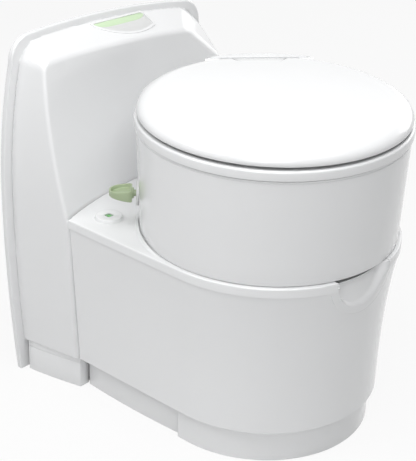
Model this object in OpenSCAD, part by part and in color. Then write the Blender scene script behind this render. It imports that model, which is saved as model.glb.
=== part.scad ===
// Bench toilet with a swivelling bowl, a wall console and a slide-out waste tank.
// X runs from the wall to the front, +Z is up and the floor is z = 0.

/* [Overall] */
// Depth from the wall to the front of the seat
depth = 548; // [530:1:580]
// Height of the bench top above the floor
bench_h = 310; // [300:1:325]
// Height of the plinths, which stand back under the body
plinth_h = 55; // [45:1:65]
// Wall of the moulded covers
wall_t = 4; // [3:0.5:5]
// Gap between faces that slide or turn past each other
run_gap = 0.3; // [0.3:0.1:0.6]
// Radial gap of a pin or shaft in its bore
pin_gap = 0.08; // [0.04:0.01:0.1]

/* [Wall flange] */
// Thickness of the flange plate
flange_t = 10; // [8:1:14]
// Greatest width of the flange
flange_w = 460; // [440:1:480]
// How much narrower the flange is at the floor
flange_foot_in = 38; // [20:1:50]
// Height at which the flange is widest
flange_wide_z = 330; // [280:5:380]
// How much narrower the flange is at its shoulders
flange_shoulder_in = 36; // [20:1:50]
// Height of the shoulders
flange_shoulder_z = 506; // [480:1:520]
// Height of the flange's top edge at its middle, without the crown
flange_top = 558; // [550:1:580]
// Crown of the top edge
flange_crown = 10; // [0:1:16]
// Fall of the top edge from the near shoulder to the far one
top_fall = 31; // [0:1:40]
// Radius of the near top corner
near_corner_r = 38; // [25:1:45]
// Radius of the far top corner
far_corner_r = 42; // [30:1:45]
// Width of the waste tank's doorway through the flange
door_w = 312; // [308:1:320]
// Height of the doorway
door_h = 232; // [222:1:240]
// Radius of the holes for the wall screws
wall_screw_r = 2.6; // [2:0.1:4]
// Distance of the wall screws from the middle plane
wall_screw_y = 175; // [168:1:180]
// Height of the lower wall screws
wall_screw_low_z = 150; // [120:1:200]
// Height of the upper wall screws
wall_screw_high_z = 480; // [440:1:486]
// Radius of the water inlet
inlet_r = 10; // [6:0.5:12]
// Distance of the water inlet from the middle plane
inlet_y = 110; // [60:1:130]
// Height of the water inlet
inlet_z = 400; // [310:1:440]

/* [Console] */
// How far the console stands in from the flange's sides
console_inset = 14; // [8:1:20]
// How far the console's top lies under the flange's edge
console_drop = 10; // [4:1:16]
// How far the console's front end draws in past the bench's side
console_lap = 1.2; // [0.7:0.1:3]
// Forward fall of the console's top face, in millimetres per millimetre
top_pitch = 0.45; // [0.2:0.01:0.6]
// Depth of the console's top from the flange to its front edge
console_top_d = 49; // [44:1:60]
// Depth of the console below the bench
console_foot_d = 109; // [100:1:120]
// Depth of the console at the middle of its hollowed front, at the bench
console_mid_d = 76; // [70:1:90]
// Radius of the hollowed front at the bench
front_r = 614; // [560:2:700]
// Where the cut across the far top corner starts
corner_cut_y = 122; // [110:1:140]
// Turn of that cut's face from straight ahead
corner_cut_turn = 35.8; // [25:0.2:45]
// Lean of that cut's face from level
corner_cut_lean = 50.7; // [45:0.1:60]

/* [Bench and base] */
// Width of the bench outside the bowl's foot
bench_margin = 10; // [9:0.5:14]
// Height of the band round the bench's edge
band_h = 14; // [10:1:20]
// Step from the band in to the body below it
band_step = 1.4; // [0.8:0.1:3]
// Radius of the body where it meets the plinth
foot_r = 182; // [178:1:188]
// How sharply the body flares up to the band
flare = 2.6; // [1.5:0.1:3.5]
// Radius of the round front plinth
plinth_r = 172; // [166:1:176]
// Width of the ledge inside the foot of the covers, which rests on the plinths
ledge_w = 22; // [20:1:26]
// Turn of the finger scoop from straight ahead
scoop_turn = -5.5; // [-10:0.5:10]
// Radius of the finger scoop's outline
scoop_r = 66; // [55:1:72]
// Width of the ring that stays round the finger scoop
scoop_ring = 8; // [6:0.5:12]
// Depth of the finger scoop under the bench's edge
scoop_d = 15; // [10:0.5:16]
// Width of the bevel inside that ring
scoop_bevel = 4; // [2:0.5:6]
// Height of the finger slot at the top of the scoop
slot_h = 6; // [4:0.5:7]
// Half the angle that the finger slot spans
slot_half = 12; // [8:1:14]
// Thickness of the bench plate
plate_t = 5; // [4:0.5:7]
// Height of the raised collar round the bowl
collar_h = 4; // [2:0.5:6]
// Thickness of the floor tray
tray_t = 4; // [3:0.5:6]

/* [Bowl] */
// Radius of the bowl's outer wall at the bench
bowl_foot_r = 190; // [186:1:191]
// How far the bowl's foot overhangs the turntable
foot_overhang = 7; // [4:0.5:10]
// How far the seat stands out over the bowl's wall
seat_over = 3; // [2:0.5:6]
// Height of the bowl's rim above the floor
rim_z = 473; // [460:1:490]
// Distance from the edge of the bowl's opening to the drive rod's axis
rod_room = 7.5; // [7:0.5:10]
// Distance from the drive rod's axis to the turntable's neck
rod_inset = 20.5; // [18:0.5:24]
// Depth of the bowl from under its rim to the outlet
liner_d = 246; // [236:1:250]
// Thickness of the bowl liner
liner_t = 4; // [3:0.5:6]
// Inner radius of the outlet
outlet_r = 42; // [38:1:46]
// Angle of the bowl's front from straight ahead, as it stands
bowl_turn = -43; // [-90:1:90]
// Width of the turntable's flange outside its neck
neck_step = 15; // [12:0.5:18]
// Thickness of the turntable's flange
turntable_t = 4.7; // [4:0.1:6]

/* [Seat and lid] */
// Outer radius of the seat
seat_r = 203; // [201:1:206]
// Thickness of the seat
seat_t = 15; // [12:0.5:18]
// How far the seat reaches in over the bowl's opening on each side
seat_lap = 17; // [10:1:30]
// How much longer the opening is than it is wide
seat_hole_extra = 50; // [20:1:60]
// Gap under the seat
seat_gap = 1.5; // [1:0.1:3]
// Gap between seat and lid
lid_gap = 4.5; // [3:0.1:6]
// How far the lid's edge stands in from the seat's
lid_in = 3; // [1:0.5:5]
// Height of the lid's edge
lid_h = 19; // [16:1:24]
// How much the lid's middle rises above its edge
lid_crown = 6; // [2:0.5:10]
// Wall of the lid
lid_t = 3; // [2.5:0.5:4]
// Distance of the hinge axis inside the lid's edge
axis_in = 28; // [26:1:32]
// Depth of the hinge axis under the lid's edge
axis_depth = 3.5; // [3.3:0.1:4.5]
// Radius of the hinge pins
pin_r = 2; // [1.8:0.1:2.2]
// Half the width of the hinge block
block_half = 80; // [72:1:84]
// Width of the seat's arms
arm_w = 4; // [3:0.5:5]
// Depth of the rounding round the lid's edge
lid_round = 24; // [18:1:30]
// Radius of the rubber buffers
buffer_r = 6; // [4:0.5:8]

/* [Valve knob] */
// Height of the knob's axis above the floor
knob_z = 361; // [350:1:380]
// Turn of the knob's axis from the bowl's front
knob_side = -94; // [-110:1:-80]
// Length of the knob's grip
knob_len = 35; // [28:1:40]
// Width of the knob's grip
knob_w = 35; // [28:1:40]
// Thickness of the knob's grip
knob_t = 15; // [10:1:18]
// Radius of the knob's stem
stem_r = 5; // [4:0.5:7]
// Radius of the round plate behind the knob
escutcheon_r = 19; // [15:1:22]

/* [Level indicator] */
// Place of the indicator across the space from the console to the seat, as a share of it
indicator_x = 0.5; // [0.48:0.01:0.52]
// Distance of the indicator from the bench's near edge
indicator_y = 49; // [45:1:55]
// Radius of the indicator's disc
indicator_r = 22; // [18:0.5:24]
// Height of the disc
indicator_h = 5; // [3:0.5:7]
// Side of its square window
window_s = 9; // [7:0.5:12]
// Depth of the flag's pin under the bench plate
flag_drop = 9.6; // [8:0.2:12]
// Gap between the flag and the window over it
flag_gap = 0.5; // [0.3:0.1:1]
// How far the flag's chamber reaches forward, where the flag swings
flag_room = 14; // [12:0.5:15]

/* [Flush control] */
// Distance of the flush control from the flange
leaf_x = 17.3; // [15:0.1:20]
// Distance of the flush control from the middle plane
leaf_y = 11.4; // [0:0.2:20]
// Width of the raised rim round the leaf-shaped field
leaf_rim_w = 4.5; // [3:0.5:6]
// Height of that rim
leaf_rim_h = 1; // [0.5:0.1:2]
// Radius of the leaf-shaped field's curved edge
leaf_r = 95.5; // [85:0.5:105]
// Length of the leaf-shaped field
leaf_len = 111; // [95:1:116]
// Width of the leaf-shaped field
leaf_w = 34; // [28:1:38]
// Width of the fixed back part of the field
plate_w = 12.8; // [10:0.2:16]
// Travel of the flush button
button_travel = 2; // [1:0.5:3]

/* [Waste tank] */
// Half the width of the waste tank
tank_r = 148; // [140:1:150]
// Height of the waste tank's floor
tank_z = 8; // [8:0.5:12]
// Height of the waste tank's body
tank_h = 178; // [170:1:182]
// Wall of the waste tank
tank_wall = 3; // [2.5:0.5:4]
// Gap between the tank's rear end and the wall
tank_rear_gap = 14; // [10:1:30]
// Length of the sunk place for the pour spout
spout_bay_l = 78; // [70:1:90]
// Depth of that sunk place
spout_bay_h = 56; // [50:1:64]
// Radius of the pour spout's tube
spout_r = 20; // [16:1:22]
// Travel of the valve blade
blade_travel = 91; // [88:1:96]
// Thickness of the valve blade
blade_t = 3; // [2.5:0.5:4]
// Radius of the tank's wheels
wheel_r = 12; // [9:0.5:14]
// Width of the wheels
wheel_w = 10; // [8:1:14]
// Radius of the wheels' axle
axle_r = 3; // [2.5:0.5:4]

/* [Hidden] */
$fn = 96;

wall_x = -depth / 2;
bowl_x = depth / 2 - seat_r;
flange_x = wall_x + flange_t;
console_foot_x = flange_x + console_foot_d;
console_mid_x = flange_x + console_mid_d;
front_cx = console_mid_x + front_r;
bench_r = bowl_foot_r + bench_margin;
bowl_top_r = seat_r - seat_over;
lid_r = seat_r - lid_in;
axis_x = lid_r - axis_in;
band_z = bench_h - band_h;
inner_z = bench_h - 2 * plate_t;
base_top_r = bench_r - band_step;
scoop_back_r = bench_r - scoop_d;
far = 1000;
fine = 180;

seam_x = bowl_x - 19;
corner_trim = 8;

plate_sink = 1.5;
button_well = 15;
button_t = 2.4;
stem_x = 8;
leaf_back = 11.5;
leaf_skew = 15.5;
leaf_far = 54.8;

frame_h = 14;
seal_t = 2;
gear_t = 5;
frame_rear = outlet_r + 14 + blade_travel + 5;
tank_top = tank_z + tank_h;
tank_x = wall_x + tank_rear_gap;
bay_x = tank_x + spout_bay_l;
bay_z = tank_top - spout_bay_h;
frame_top = tank_top + frame_h;
seal_top = frame_top + seal_t;
blade_z = tank_top + (frame_h - blade_t) / 2;
outlet_z = seal_top + run_gap;
gear_z = seal_top + 1;

recess_z = inner_z + plate_t + 1;
turn_z = recess_z + run_gap;
turntable_top = turn_z + turntable_t;
turntable_r = bowl_foot_r - foot_overhang;
neck_r = turntable_r - neck_step;
neck_in_r = neck_r - 5;
rod_r = neck_in_r - rod_inset;
bowl_mouth_r = rod_r - rod_room;
seat_hole_r = bowl_mouth_r - seat_lap;
rim_t = 3;
shell_t = 3;
shell_top = rim_z - rim_t;

seat_z = rim_z + seat_gap;
seat_top = seat_z + seat_t;
lid_z = seat_top + lid_gap;
lid_top = lid_z + lid_h;
axis_z = lid_top - axis_depth;

module along_x(x, len) {
    translate([x, 0, 0]) rotate([90, 0, 90]) linear_extrude(len) children();
}

module at_bowl(turn = 0) {
    translate([bowl_x, 0, 0]) rotate([0, 0, turn]) children();
}

module both_sides() {
    children();
    mirror([0, 1, 0]) children();
}

module tube(r_out, r_in, h) {
    difference() {
        cylinder(r = r_out, h = h);
        translate([0, 0, -1]) cylinder(r = r_in, h = h + 2);
    }
}

// A block from the low corner a to the high corner b
module block(a, b) {
    translate(a) cube(b - a);
}

/* ---- outline shared by the flange and the console ---- */
function bow_r(rise, side) = (rise * rise + side * side) / (2 * side);
foot_bow_r = bow_r(flange_wide_z, flange_foot_in / 2);
shoulder_bow_r = bow_r(flange_shoulder_z - flange_wide_z, flange_shoulder_in / 2);

// Half width of the flange at height z
function half_w(z) =
    let (r = z < flange_wide_z ? foot_bow_r : shoulder_bow_r, d = z - flange_wide_z)
    flange_w / 2 - r + sqrt(r * r - d * d);

console_draw = half_w(band_z) - console_inset - bench_r + console_lap;

// Height of the flange's top edge at y
crown_half = (flange_w - flange_shoulder_in) / 2 - near_corner_r;
fall = top_fall / (flange_w - flange_shoulder_in);
function top_z(y) = flange_top + flange_crown * (1 - pow(y / crown_half, 2)) - fall * y;

function arc(cy, cz, r, a0, a1, steps = 6) =
    [for (i = [0:steps]) let (a = a0 + (a1 - a0) * i / steps) [cy + r * cos(a), cz + r * sin(a)]];

// The outline, drawn in by inset at the sides and by drop at the top
function shield(inset, drop, foot, near_r, far_r) =
    let (near_z = top_z(-crown_half) - drop - near_r,
         far_z = top_z(crown_half) - drop - far_r,
         near_y = -(half_w(near_z) - inset - near_r),
         far_y = half_w(far_z) - inset - far_r)
    concat([for (i = [0:8]) let (z = foot + (near_z - foot) * i / 8) [-(half_w(z) - inset), z]],
           arc(near_y, near_z, near_r, 180, 90),
           [for (i = [1:5]) let (y = near_y + (far_y - near_y) * i / 6) [y, top_z(y) - drop]],
           arc(far_y, far_z, far_r, 90, 0),
           [for (i = [0:8]) let (z = far_z + (foot - far_z) * i / 8) [half_w(z) - inset, z]]);

/* ---- wall flange ---- */
module wall_screw_places() {
    for (z = [wall_screw_low_z, wall_screw_high_z], side = [-1, 1])
        translate([wall_x, side * wall_screw_y, z]) rotate([0, 90, 0]) children();
}

module wall_flange() {
    color("white") difference() {
        along_x(wall_x, flange_t) polygon(shield(0, 0, 0, near_corner_r, far_corner_r));
        block([wall_x - 1, -door_w / 2, -1], [flange_x + 1, door_w / 2, door_h]);
        wall_screw_places() translate([0, 0, -1]) cylinder(r = wall_screw_r, h = flange_t + 2);
        at_inlet() translate([0, 0, -1]) cylinder(r = inlet_r, h = flange_t + 2);
    }
}

/* ---- console ---- */
// The console's whole form, drawn in by skin all round, from height foot up
module console_form(skin, foot) {
    over = skin > 0 ? 1 : 0;
    near_r = near_corner_r - corner_trim;
    far_r = far_corner_r - corner_trim;
    hull() {
        along_x(flange_x - over, 1)
            polygon(shield(console_inset + skin, console_drop + skin, foot, near_r, far_r));
        along_x(console_foot_x + wall_t, 1)
            polygon(shield(console_inset + console_draw + skin,
                           console_drop + top_pitch * (console_foot_d + wall_t) + skin,
                           foot, near_r, far_r));
    }
}

// Everything in front of the hollowed face above height z, moved back by skin
module front_hollow(z, skin) {
    hull() {
        translate([front_cx - skin, 0, z]) intersection() {
            cylinder(r = front_r, h = 1, $fn = fine);
            block([-front_r - 1, -flange_w, 0], [-front_r / 2, flange_w, 1]);
        }
        block([flange_x + console_top_d - skin, -flange_w, top_z(0)],
              [flange_x + console_top_d + console_foot_d, flange_w, top_z(0) + near_corner_r]);
    }
}

// The slanting cut across the console's far top corner, sunk by skin
module corner_cut(skin) {
    cut_z = top_z(0) - console_drop - top_pitch * console_top_d - fall * corner_cut_y;
    translate([flange_x + console_top_d, corner_cut_y, cut_z])
        rotate([0, 0, corner_cut_turn]) rotate([0, corner_cut_lean, 0])
            block([-flange_w, -flange_w, -skin], [flange_w, flange_w, flange_w]);
}

module console_housing() {
    shelf_z = band_z - wall_t;
    base_mouth = foot_r - ledge_w;
    color("white") difference() {
        union() {
            difference() {
                console_form(0, plinth_h);
                front_hollow(band_z, 0);
                corner_cut(0);
                block([console_foot_x, -flange_w, 0], [far, flange_w, far]);
                intersection() {
                    difference() {
                        console_form(wall_t, plinth_h - 1);
                        front_hollow(shelf_z, wall_t);
                        corner_cut(wall_t);
                    }
                    // the front end is open to the base only between its side returns
                    union() {
                        block([-far, -far, plinth_h + wall_t], [console_foot_x - wall_t, far, far]);
                        block([-far, -base_mouth, plinth_h + wall_t], [far, base_mouth, shelf_z]);
                    }
                }
                intersection() {
                    console_form(ledge_w - wall_t, plinth_h - 1);
                    block([-far, -far, 0], [far, far, plinth_h + wall_t + 1]);
                }
            }
            on_top_face() translate([0, 0, -button_well]) linear_extrude(button_well - 1) leaf_front(-2);
            on_top_face() linear_extrude(leaf_rim_h) leaf(-leaf_rim_w);
        }
        on_top_face() translate([0, 0, -plate_sink]) linear_extrude(button_well) leaf_back(-run_gap);
        on_top_face() translate([0, 0, 2 - button_well])
            linear_extrude(button_well + 2) leaf_front(-run_gap);
    }
}

/* ---- leaf-shaped flush control ---- */

// A frame on the console's sloping top face, with its own z square to the face
module on_top_face() {
    face_z = top_z(leaf_y) - console_drop - top_pitch * leaf_x;
    translate([flange_x + leaf_x, leaf_y, face_z])
        rotate([-atan(fall * cos(atan(top_pitch))), atan(top_pitch), 0]) children();
}

// The whole leaf, drawn in by inset
module leaf(inset) {
    intersection() {
        translate([leaf_w - leaf_r - leaf_back, leaf_skew]) circle(leaf_r - inset);
        translate([inset - leaf_back, leaf_far - leaf_len + inset]) square([leaf_w, leaf_len - 2 * inset]);
    }
}

// Its fixed back part
module leaf_back(inset) {
    intersection() {
        leaf(inset);
        translate([-leaf_r, -leaf_len]) square([leaf_r - leaf_back + plate_w - inset, 2 * leaf_len]);
    }
}

// Its front part, the button
module leaf_front(inset) {
    intersection() {
        leaf(inset);
        translate([plate_w - leaf_back + inset, -leaf_len]) square([leaf_w, 2 * leaf_len]);
    }
}

module control_plate() {
    color("lightgreen") on_top_face()
        translate([0, 0, -plate_sink]) linear_extrude(plate_sink + 0.5) leaf_back(0);
}

module flush_button() {
    color("lightgray") on_top_face() {
        translate([0, 0, 0.5 - button_t]) linear_extrude(button_t) leaf_front(run_gap);
        translate([stem_x, leaf_skew, button_travel + 2.5 - button_well])
            cylinder(r = 2.5, h = button_well - button_travel - button_t - 2);
    }
}

module button_spring() {
    color("silver") on_top_face() translate([stem_x, leaf_skew, 2 - button_well])
        tube(3.8, 2.8, button_well - button_t - button_travel - 2.5);
}

module control_board() {
    color("darkgreen") on_top_face() translate([0, 0, -button_well])
        block([2, -leaf_len / 4, -2], [leaf_w - leaf_back - 2, leaf_len / 2.5, 0]);
}

/* ---- plinths ---- */
// An upright strip from x0 to x1 that follows the outer line y(t), t running from 0 to 1
module strip(line) {
    linear_extrude(plinth_h) polygon(concat(line, [for (i = [len(line) - 1:-1:0]) line[i] - [0, wall_t]]));
}

plinth_inset = 9;
plinth_step = 16;
plinth_gap = 3.5;
plinth_lap = 3;
console_plinth_y0 = half_w(0) - console_inset + 2;
console_plinth_y1 = plinth_r - plinth_inset + plinth_step;
console_plinth_line = [for (i = [0:8]) let (t = i / 8)
    [flange_x + 7 + (console_foot_d - 8) * t,
     console_plinth_y0 + (console_plinth_y1 - console_plinth_y0) * pow(t, 1.3)]];
bench_plinth_line = [for (i = [0:8]) let (t = i / 8)
    [console_foot_x + plinth_gap + (seam_x - console_foot_x - plinth_gap) * t,
     plinth_r - plinth_inset + 14 * t * (1 - t) + t]];

module console_plinth() {
    groove_z = plinth_h - 11;
    end = console_plinth_line[8];
    color("white") both_sides() {
        difference() {
            strip(console_plinth_line);
            translate([0, 0, groove_z]) linear_extrude(1)
                polygon(concat([for (p = console_plinth_line) p + [0, 1]],
                               [for (i = [8:-1:0]) console_plinth_line[i] - [0, 0.8]]));
        }
        block([end[0] - wall_t, end[1] - plinth_step - plinth_lap, 0],
              [end[0], end[1] - wall_t + 1, plinth_h]);
    }
}

module bench_plinth() {
    color("white") both_sides() strip(bench_plinth_line);
}

module front_plinth() {
    color("white") intersection() {
        union() {
            at_bowl() linear_extrude(plinth_h) difference() {
                circle(plinth_r, $fn = fine);
                circle(plinth_r - wall_t, $fn = fine);
            }
            both_sides() block([seam_x, plinth_r - wall_t, 0], [bowl_x, plinth_r, plinth_h]);
        }
        union() {
            block([bowl_x, -far, 0], [far, far, far]);
            both_sides() block([seam_x, plinth_r - wall_t, 0], [bowl_x, plinth_r, plinth_h]);
        }
    }
}

/* ---- base and bench ---- */
flare_steps = 8;
function base_r(z) =
    foot_r + (base_top_r - foot_r) * pow((z - plinth_h) / (band_z - plinth_h), flare);
function flare_line(inset, from_z) = [for (i = [0:flare_steps])
    let (z = from_z + (band_z - from_z) * i / flare_steps) [base_r(z) - inset, z]];
function reversed(list) = [for (i = [len(list) - 1:-1:0]) list[i]];

// A round block of radius r across the front, from radius from_r outwards
module scoop_disc(r, from_r) {
    difference() {
        at_bowl(scoop_turn) translate([0, 0, bench_h]) rotate([0, 90, 0]) cylinder(r = r, h = far);
        at_bowl() cylinder(r = from_r, h = far, $fn = fine);
    }
}

// The scoop's cut: a bevelled bowl with an upright back, and the finger slot over it
module scoop() {
    inner_r = scoop_r - scoop_ring - scoop_bevel;
    reach = bench_r - scoop_back_r;
    at_bowl(scoop_turn) {
        difference() {
            translate([0, 0, bench_h + 1]) rotate([0, 90, 0]) {
                cylinder(r = inner_r, h = far);
                translate([0, 0, bench_r - 2 * reach])
                    cylinder(r1 = inner_r - scoop_bevel, r2 = inner_r + scoop_bevel, h = 2 * reach);
                translate([0, 0, bench_r - 1]) cylinder(r = inner_r + scoop_bevel, h = far);
            }
            cylinder(r = scoop_back_r, h = far, $fn = fine);
        }
        rotate_extrude(start = -slot_half, angle = 2 * slot_half, $fn = fine)
            translate([turntable_r - 2, bench_h - slot_h]) square([bench_r - turntable_r + 4, slot_h + 1]);
    }
}

// The base's form for a half profile: straight sides from over behind the console's
// foot that run into a round front
module base_form(profile, over) {
    at_bowl() rotate_extrude(start = -90, angle = 180, $fn = fine) polygon(profile);
    along_x(console_foot_x - over, bowl_x - console_foot_x + over)
        polygon(concat(profile, [for (p = reversed(profile)) [-p[0], p[1]]]));
}

base_profile = concat([[0, plinth_h]], flare_line(0, plinth_h), [[0, band_z]]);

module base_body() {
    inside_z = plinth_h + wall_t;
    color("white") difference() {
        base_form(base_profile, 0);
        base_form(concat([[0, plinth_h - 1], [foot_r - ledge_w, plinth_h - 1],
                          [foot_r - ledge_w, inside_z]],
                         flare_line(wall_t, inside_z),
                         [[base_top_r - wall_t, band_z + 1], [0, band_z + 1]]), 1);
        scoop_disc(scoop_r + run_gap, bench_r / 2);
    }
}

module bench_outline(inset) {
    intersection() {
        union() {
            translate([bowl_x, 0]) circle(bench_r - inset, $fn = fine);
            translate([wall_x, -bench_r + inset]) square([bowl_x - wall_x, 2 * (bench_r - inset)]);
        }
        translate([front_cx, 0]) circle(front_r - run_gap - inset, $fn = fine);
    }
}

module bench_top() {
    collar_r = bowl_foot_r + 1.2;
    color("white") difference() {
        union() {
            translate([0, 0, bench_h - plate_t]) linear_extrude(plate_t) bench_outline(0);
            translate([0, 0, band_z]) linear_extrude(band_h - plate_t) difference() {
                bench_outline(0);
                bench_outline(wall_t);
            }
            at_bowl() translate([0, 0, inner_z]) cylinder(r = bowl_foot_r + 5, h = 2 * plate_t);
            at_bowl() rotate_extrude($fn = fine) polygon([
                [collar_r, bench_h - 1], [bench_r - 3, bench_h - 1], [bench_r - 3, bench_h],
                [collar_r + 2.5, bench_h + collar_h], [collar_r, bench_h + collar_h]]);
            // the scoop's own wall hangs in the base's cut-out
            intersection() {
                scoop_disc(scoop_r, scoop_back_r - wall_t);
                union() {
                    base_form(base_profile, 0);
                    at_bowl() translate([0, 0, band_z - 1])
                        cylinder(r = base_top_r, h = band_h, $fn = fine);
                }
            }
        }
        at_bowl() translate([0, 0, band_z - 1])
            cylinder(r = neck_r + pin_gap + run_gap, h = 30, $fn = fine);
        at_bowl() translate([0, 0, recess_z]) cylinder(r = turntable_r + 1, h = 30, $fn = fine);
        at_indicator() translate([0, 0, -band_h]) cylinder(r = indicator_r - 5, h = 2 * band_h);
        scoop();
    }
}

/* ---- floor tray and runners ---- */
floor_screw_r = 3;
tray_half = plinth_r - 9 - wall_t - 3;
rail_y = tank_r + 1;
rail_w = 3;
rail_end_x = bowl_x - 10;

module floor_screw_places() {
    for (x = [console_foot_x + 20, bowl_x + 40], side = [-1, 1])
        translate([x, side * (tank_r - 30), 0]) children();
}

module floor_tray() {
    color("gainsboro") difference() {
        linear_extrude(tray_t) union() {
            intersection() {
                translate([bowl_x, 0]) circle(plinth_r - wall_t - run_gap, $fn = fine);
                translate([bowl_x - 1, -far]) square(2 * far);
            }
            translate([wall_x + flange_t, -tray_half]) square([bowl_x - flange_x, 2 * tray_half]);
        }
        floor_screw_places() translate([0, 0, -1]) cylinder(r = floor_screw_r, h = tray_t + 2);
    }
}

module guide_rails() {
    color("gainsboro") both_sides() {
        block([flange_x + 2, rail_y, tray_t], [rail_end_x, rail_y + rail_w, tank_z + 26]);
        block([flange_x + 2, rail_y - 13, tray_t], [rail_end_x, rail_y + rail_w, tank_z - run_gap]);
    }
}

/* ---- level indicator ---- */
window_t = 2;
flag_z = -plate_t - flag_drop;
flag_r = indicator_h - window_t - flag_gap - flag_z;
flag_w = window_s - 1.2;
flag_pin_r = 1.5;
ear_y = window_s / 2 + 1;
ear_x = 4;
indicator_side = bench_r - indicator_y;
console_side_x = front_cx - sqrt(front_r * front_r - indicator_side * indicator_side);
seat_side_x = bowl_x - sqrt(seat_r * seat_r - indicator_side * indicator_side);

module at_indicator() {
    x = console_side_x + indicator_x * (seat_side_x - console_side_x);
    translate([x, -indicator_side, bench_h]) children();
}

module indicator_bezel() {
    side = window_s / 2;
    color("white") at_indicator() difference() {
        union() {
            cylinder(r1 = indicator_r, r2 = indicator_r - 1.5, h = indicator_h);
            translate([0, 0, -plate_t]) cylinder(r = indicator_r - 5 - run_gap, h = plate_t + 1);
            for (y = [-ear_y, ear_y]) translate([0, y, 0])
                block([-ear_x, -1, flag_z - ear_x], [ear_x, 1, 0]);
        }
        block([-side, -side, -plate_t - 1], [side, side, far]);
        block([-side - 1, -side, -plate_t - 1], [flag_room, side, indicator_h - window_t]);
        translate([0, 0, flag_z]) rotate([90, 0, 0])
            cylinder(r = flag_pin_r + pin_gap, h = 4 * ear_y, center = true);
    }
}

module indicator_lens() {
    side = window_s / 2;
    color("lightgray", 0.4) at_indicator()
        block([-side, -side, indicator_h - window_t], [side, side, indicator_h - 0.6]);
}

// A curved flag that swings under the window on its own cross pin
module level_flag() {
    side = window_s / 2 + 0.5;
    color("limegreen") at_indicator() translate([0, 0, flag_z]) rotate([90, 0, 0]) {
        intersection() {
            cylinder(r = flag_r, h = flag_w, center = true);
            block([-side, flag_r - 3, -flag_w], [side, far, flag_w]);
        }
        block([-1.2, 0, -flag_w / 2], [1.2, flag_r - 2, flag_w / 2]);
        cylinder(r = flag_pin_r, h = 2 * ear_y + 2, center = true);
    }
}

/* ---- flush water ---- */
water_tank_d = 38;
water_tank_half = 150;
water_tank_low = door_h + 40;
pump_y = 118;
pump_r = 14;
spigot_r = 7.6;

module water_tank() {
    inside = tank_wall;
    high = wall_screw_high_z - 10;
    color("whitesmoke") difference() {
        block([flange_x, -water_tank_half, water_tank_low],
              [flange_x + water_tank_d, water_tank_half, high]);
        block([flange_x + inside, inside - water_tank_half, water_tank_low + inside],
              [flange_x + water_tank_d - inside, water_tank_half - inside, high - inside]);
        at_pump() cylinder(r = spigot_r + pin_gap, h = far);
        at_inlet() cylinder(r = inlet_r, h = flange_t + 2 * inside);
    }
}

module at_inlet() {
    translate([wall_x, -inlet_y, inlet_z]) rotate([0, 90, 0]) children();
}

module at_pump() {
    translate([flange_x + water_tank_d / 2, pump_y, water_tank_low - 30]) children();
}

module flush_pump() {
    color("dimgray") at_pump() {
        cylinder(r = pump_r, h = 26);
        cylinder(r = spigot_r, h = 30 + tank_wall + 6);
        translate([0, -pump_r + 2, 10]) rotate([90, 0, 0]) cylinder(r = 4, h = 16);
    }
}

/* ---- turning bowl ---- */
module turntable() {
    lug_r = 8;
    color("white") {
        at_bowl() rotate_extrude($fn = fine) polygon([
            [neck_in_r, inner_z - run_gap], [neck_r, inner_z - run_gap], [neck_r, turn_z],
            [turntable_r, turn_z], [turntable_r, turntable_top], [neck_in_r, turntable_top]]);
        at_rod() difference() {
            union() {
                translate([0, 0, inner_z - run_gap])
                    cylinder(r = lug_r, h = turntable_top - inner_z + run_gap);
                block([0, -lug_r + 2, inner_z - run_gap],
                      [neck_in_r - rod_r + 2, lug_r - 2, turntable_top]);
            }
            cylinder(r = rod_t + pin_gap, h = far);
        }
    }
}

ring_t = 4;
module retaining_ring() {
    color("gainsboro") at_bowl() translate([0, 0, inner_z - run_gap - ring_t])
        tube(neck_r + 10, neck_in_r - 2, ring_t);
}

module bowl_shell() {
    color("white") difference() {
        at_bowl() rotate_extrude($fn = fine) polygon([
            [turntable_r - 10, turntable_top], [bowl_foot_r, turntable_top], [bowl_top_r, shell_top],
            [bowl_mouth_r + liner_t + 6, shell_top], [bowl_mouth_r + liner_t + 6, shell_top - 4],
            [bowl_top_r - shell_t - 1, shell_top - 4], [bowl_foot_r - shell_t, turntable_top + shell_t],
            [turntable_r - 10, turntable_top + shell_t]]);
        at_knob() translate([0, 0, -30]) cylinder(r = stem_r + pin_gap, h = 60);
    }
}

// Half outline of the liner's outside, from under its rim down to the outlet
liner_shares = [[0, 0], [0, 0.12], [0.03, 0.37], [0.215, 0.61], [0.495, 0.81], [0.8, 0.945]];
function liner_line(inset) = [for (p = liner_shares)
    [bowl_mouth_r + liner_t - inset - p[0] * (bowl_mouth_r - outlet_r), shell_top - p[1] * liner_d]];

module bowl_liner() {
    outlet_top = shell_top - liner_d;
    color("white") difference() {
        at_bowl() rotate_extrude($fn = fine) polygon(concat(
            [[bowl_top_r - 0.5, rim_z], [bowl_top_r - 0.5, shell_top]], liner_line(0),
            [[outlet_r + liner_t, outlet_top], [outlet_r + liner_t, outlet_z], [outlet_r, outlet_z],
             [outlet_r, outlet_top + 1]],
            reversed(liner_line(liner_t)), [[bowl_mouth_r, rim_z]]));
        at_nozzle() cylinder(r = nozzle_r + pin_gap, h = 30, center = true);
    }
}

nozzle_r = 5;
module at_nozzle() {
    at_bowl(bowl_turn) translate([-bowl_mouth_r - liner_t, 0, rim_z - 20]) rotate([0, 90, 0]) children();
}

module flush_nozzle() {
    color("whitesmoke") at_nozzle() {
        translate([0, 0, -12]) cylinder(r = nozzle_r, h = liner_t + 14);
        translate([0, 0, liner_t + 0.4]) cylinder(r = nozzle_r + 4, h = 3);
    }
}

module outlet_seal() {
    color("dimgray") at_bowl() translate([0, 0, gear_z + gear_t + run_gap])
        tube(outlet_r + liner_t + 5, outlet_r + liner_t, 5);
}

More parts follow.
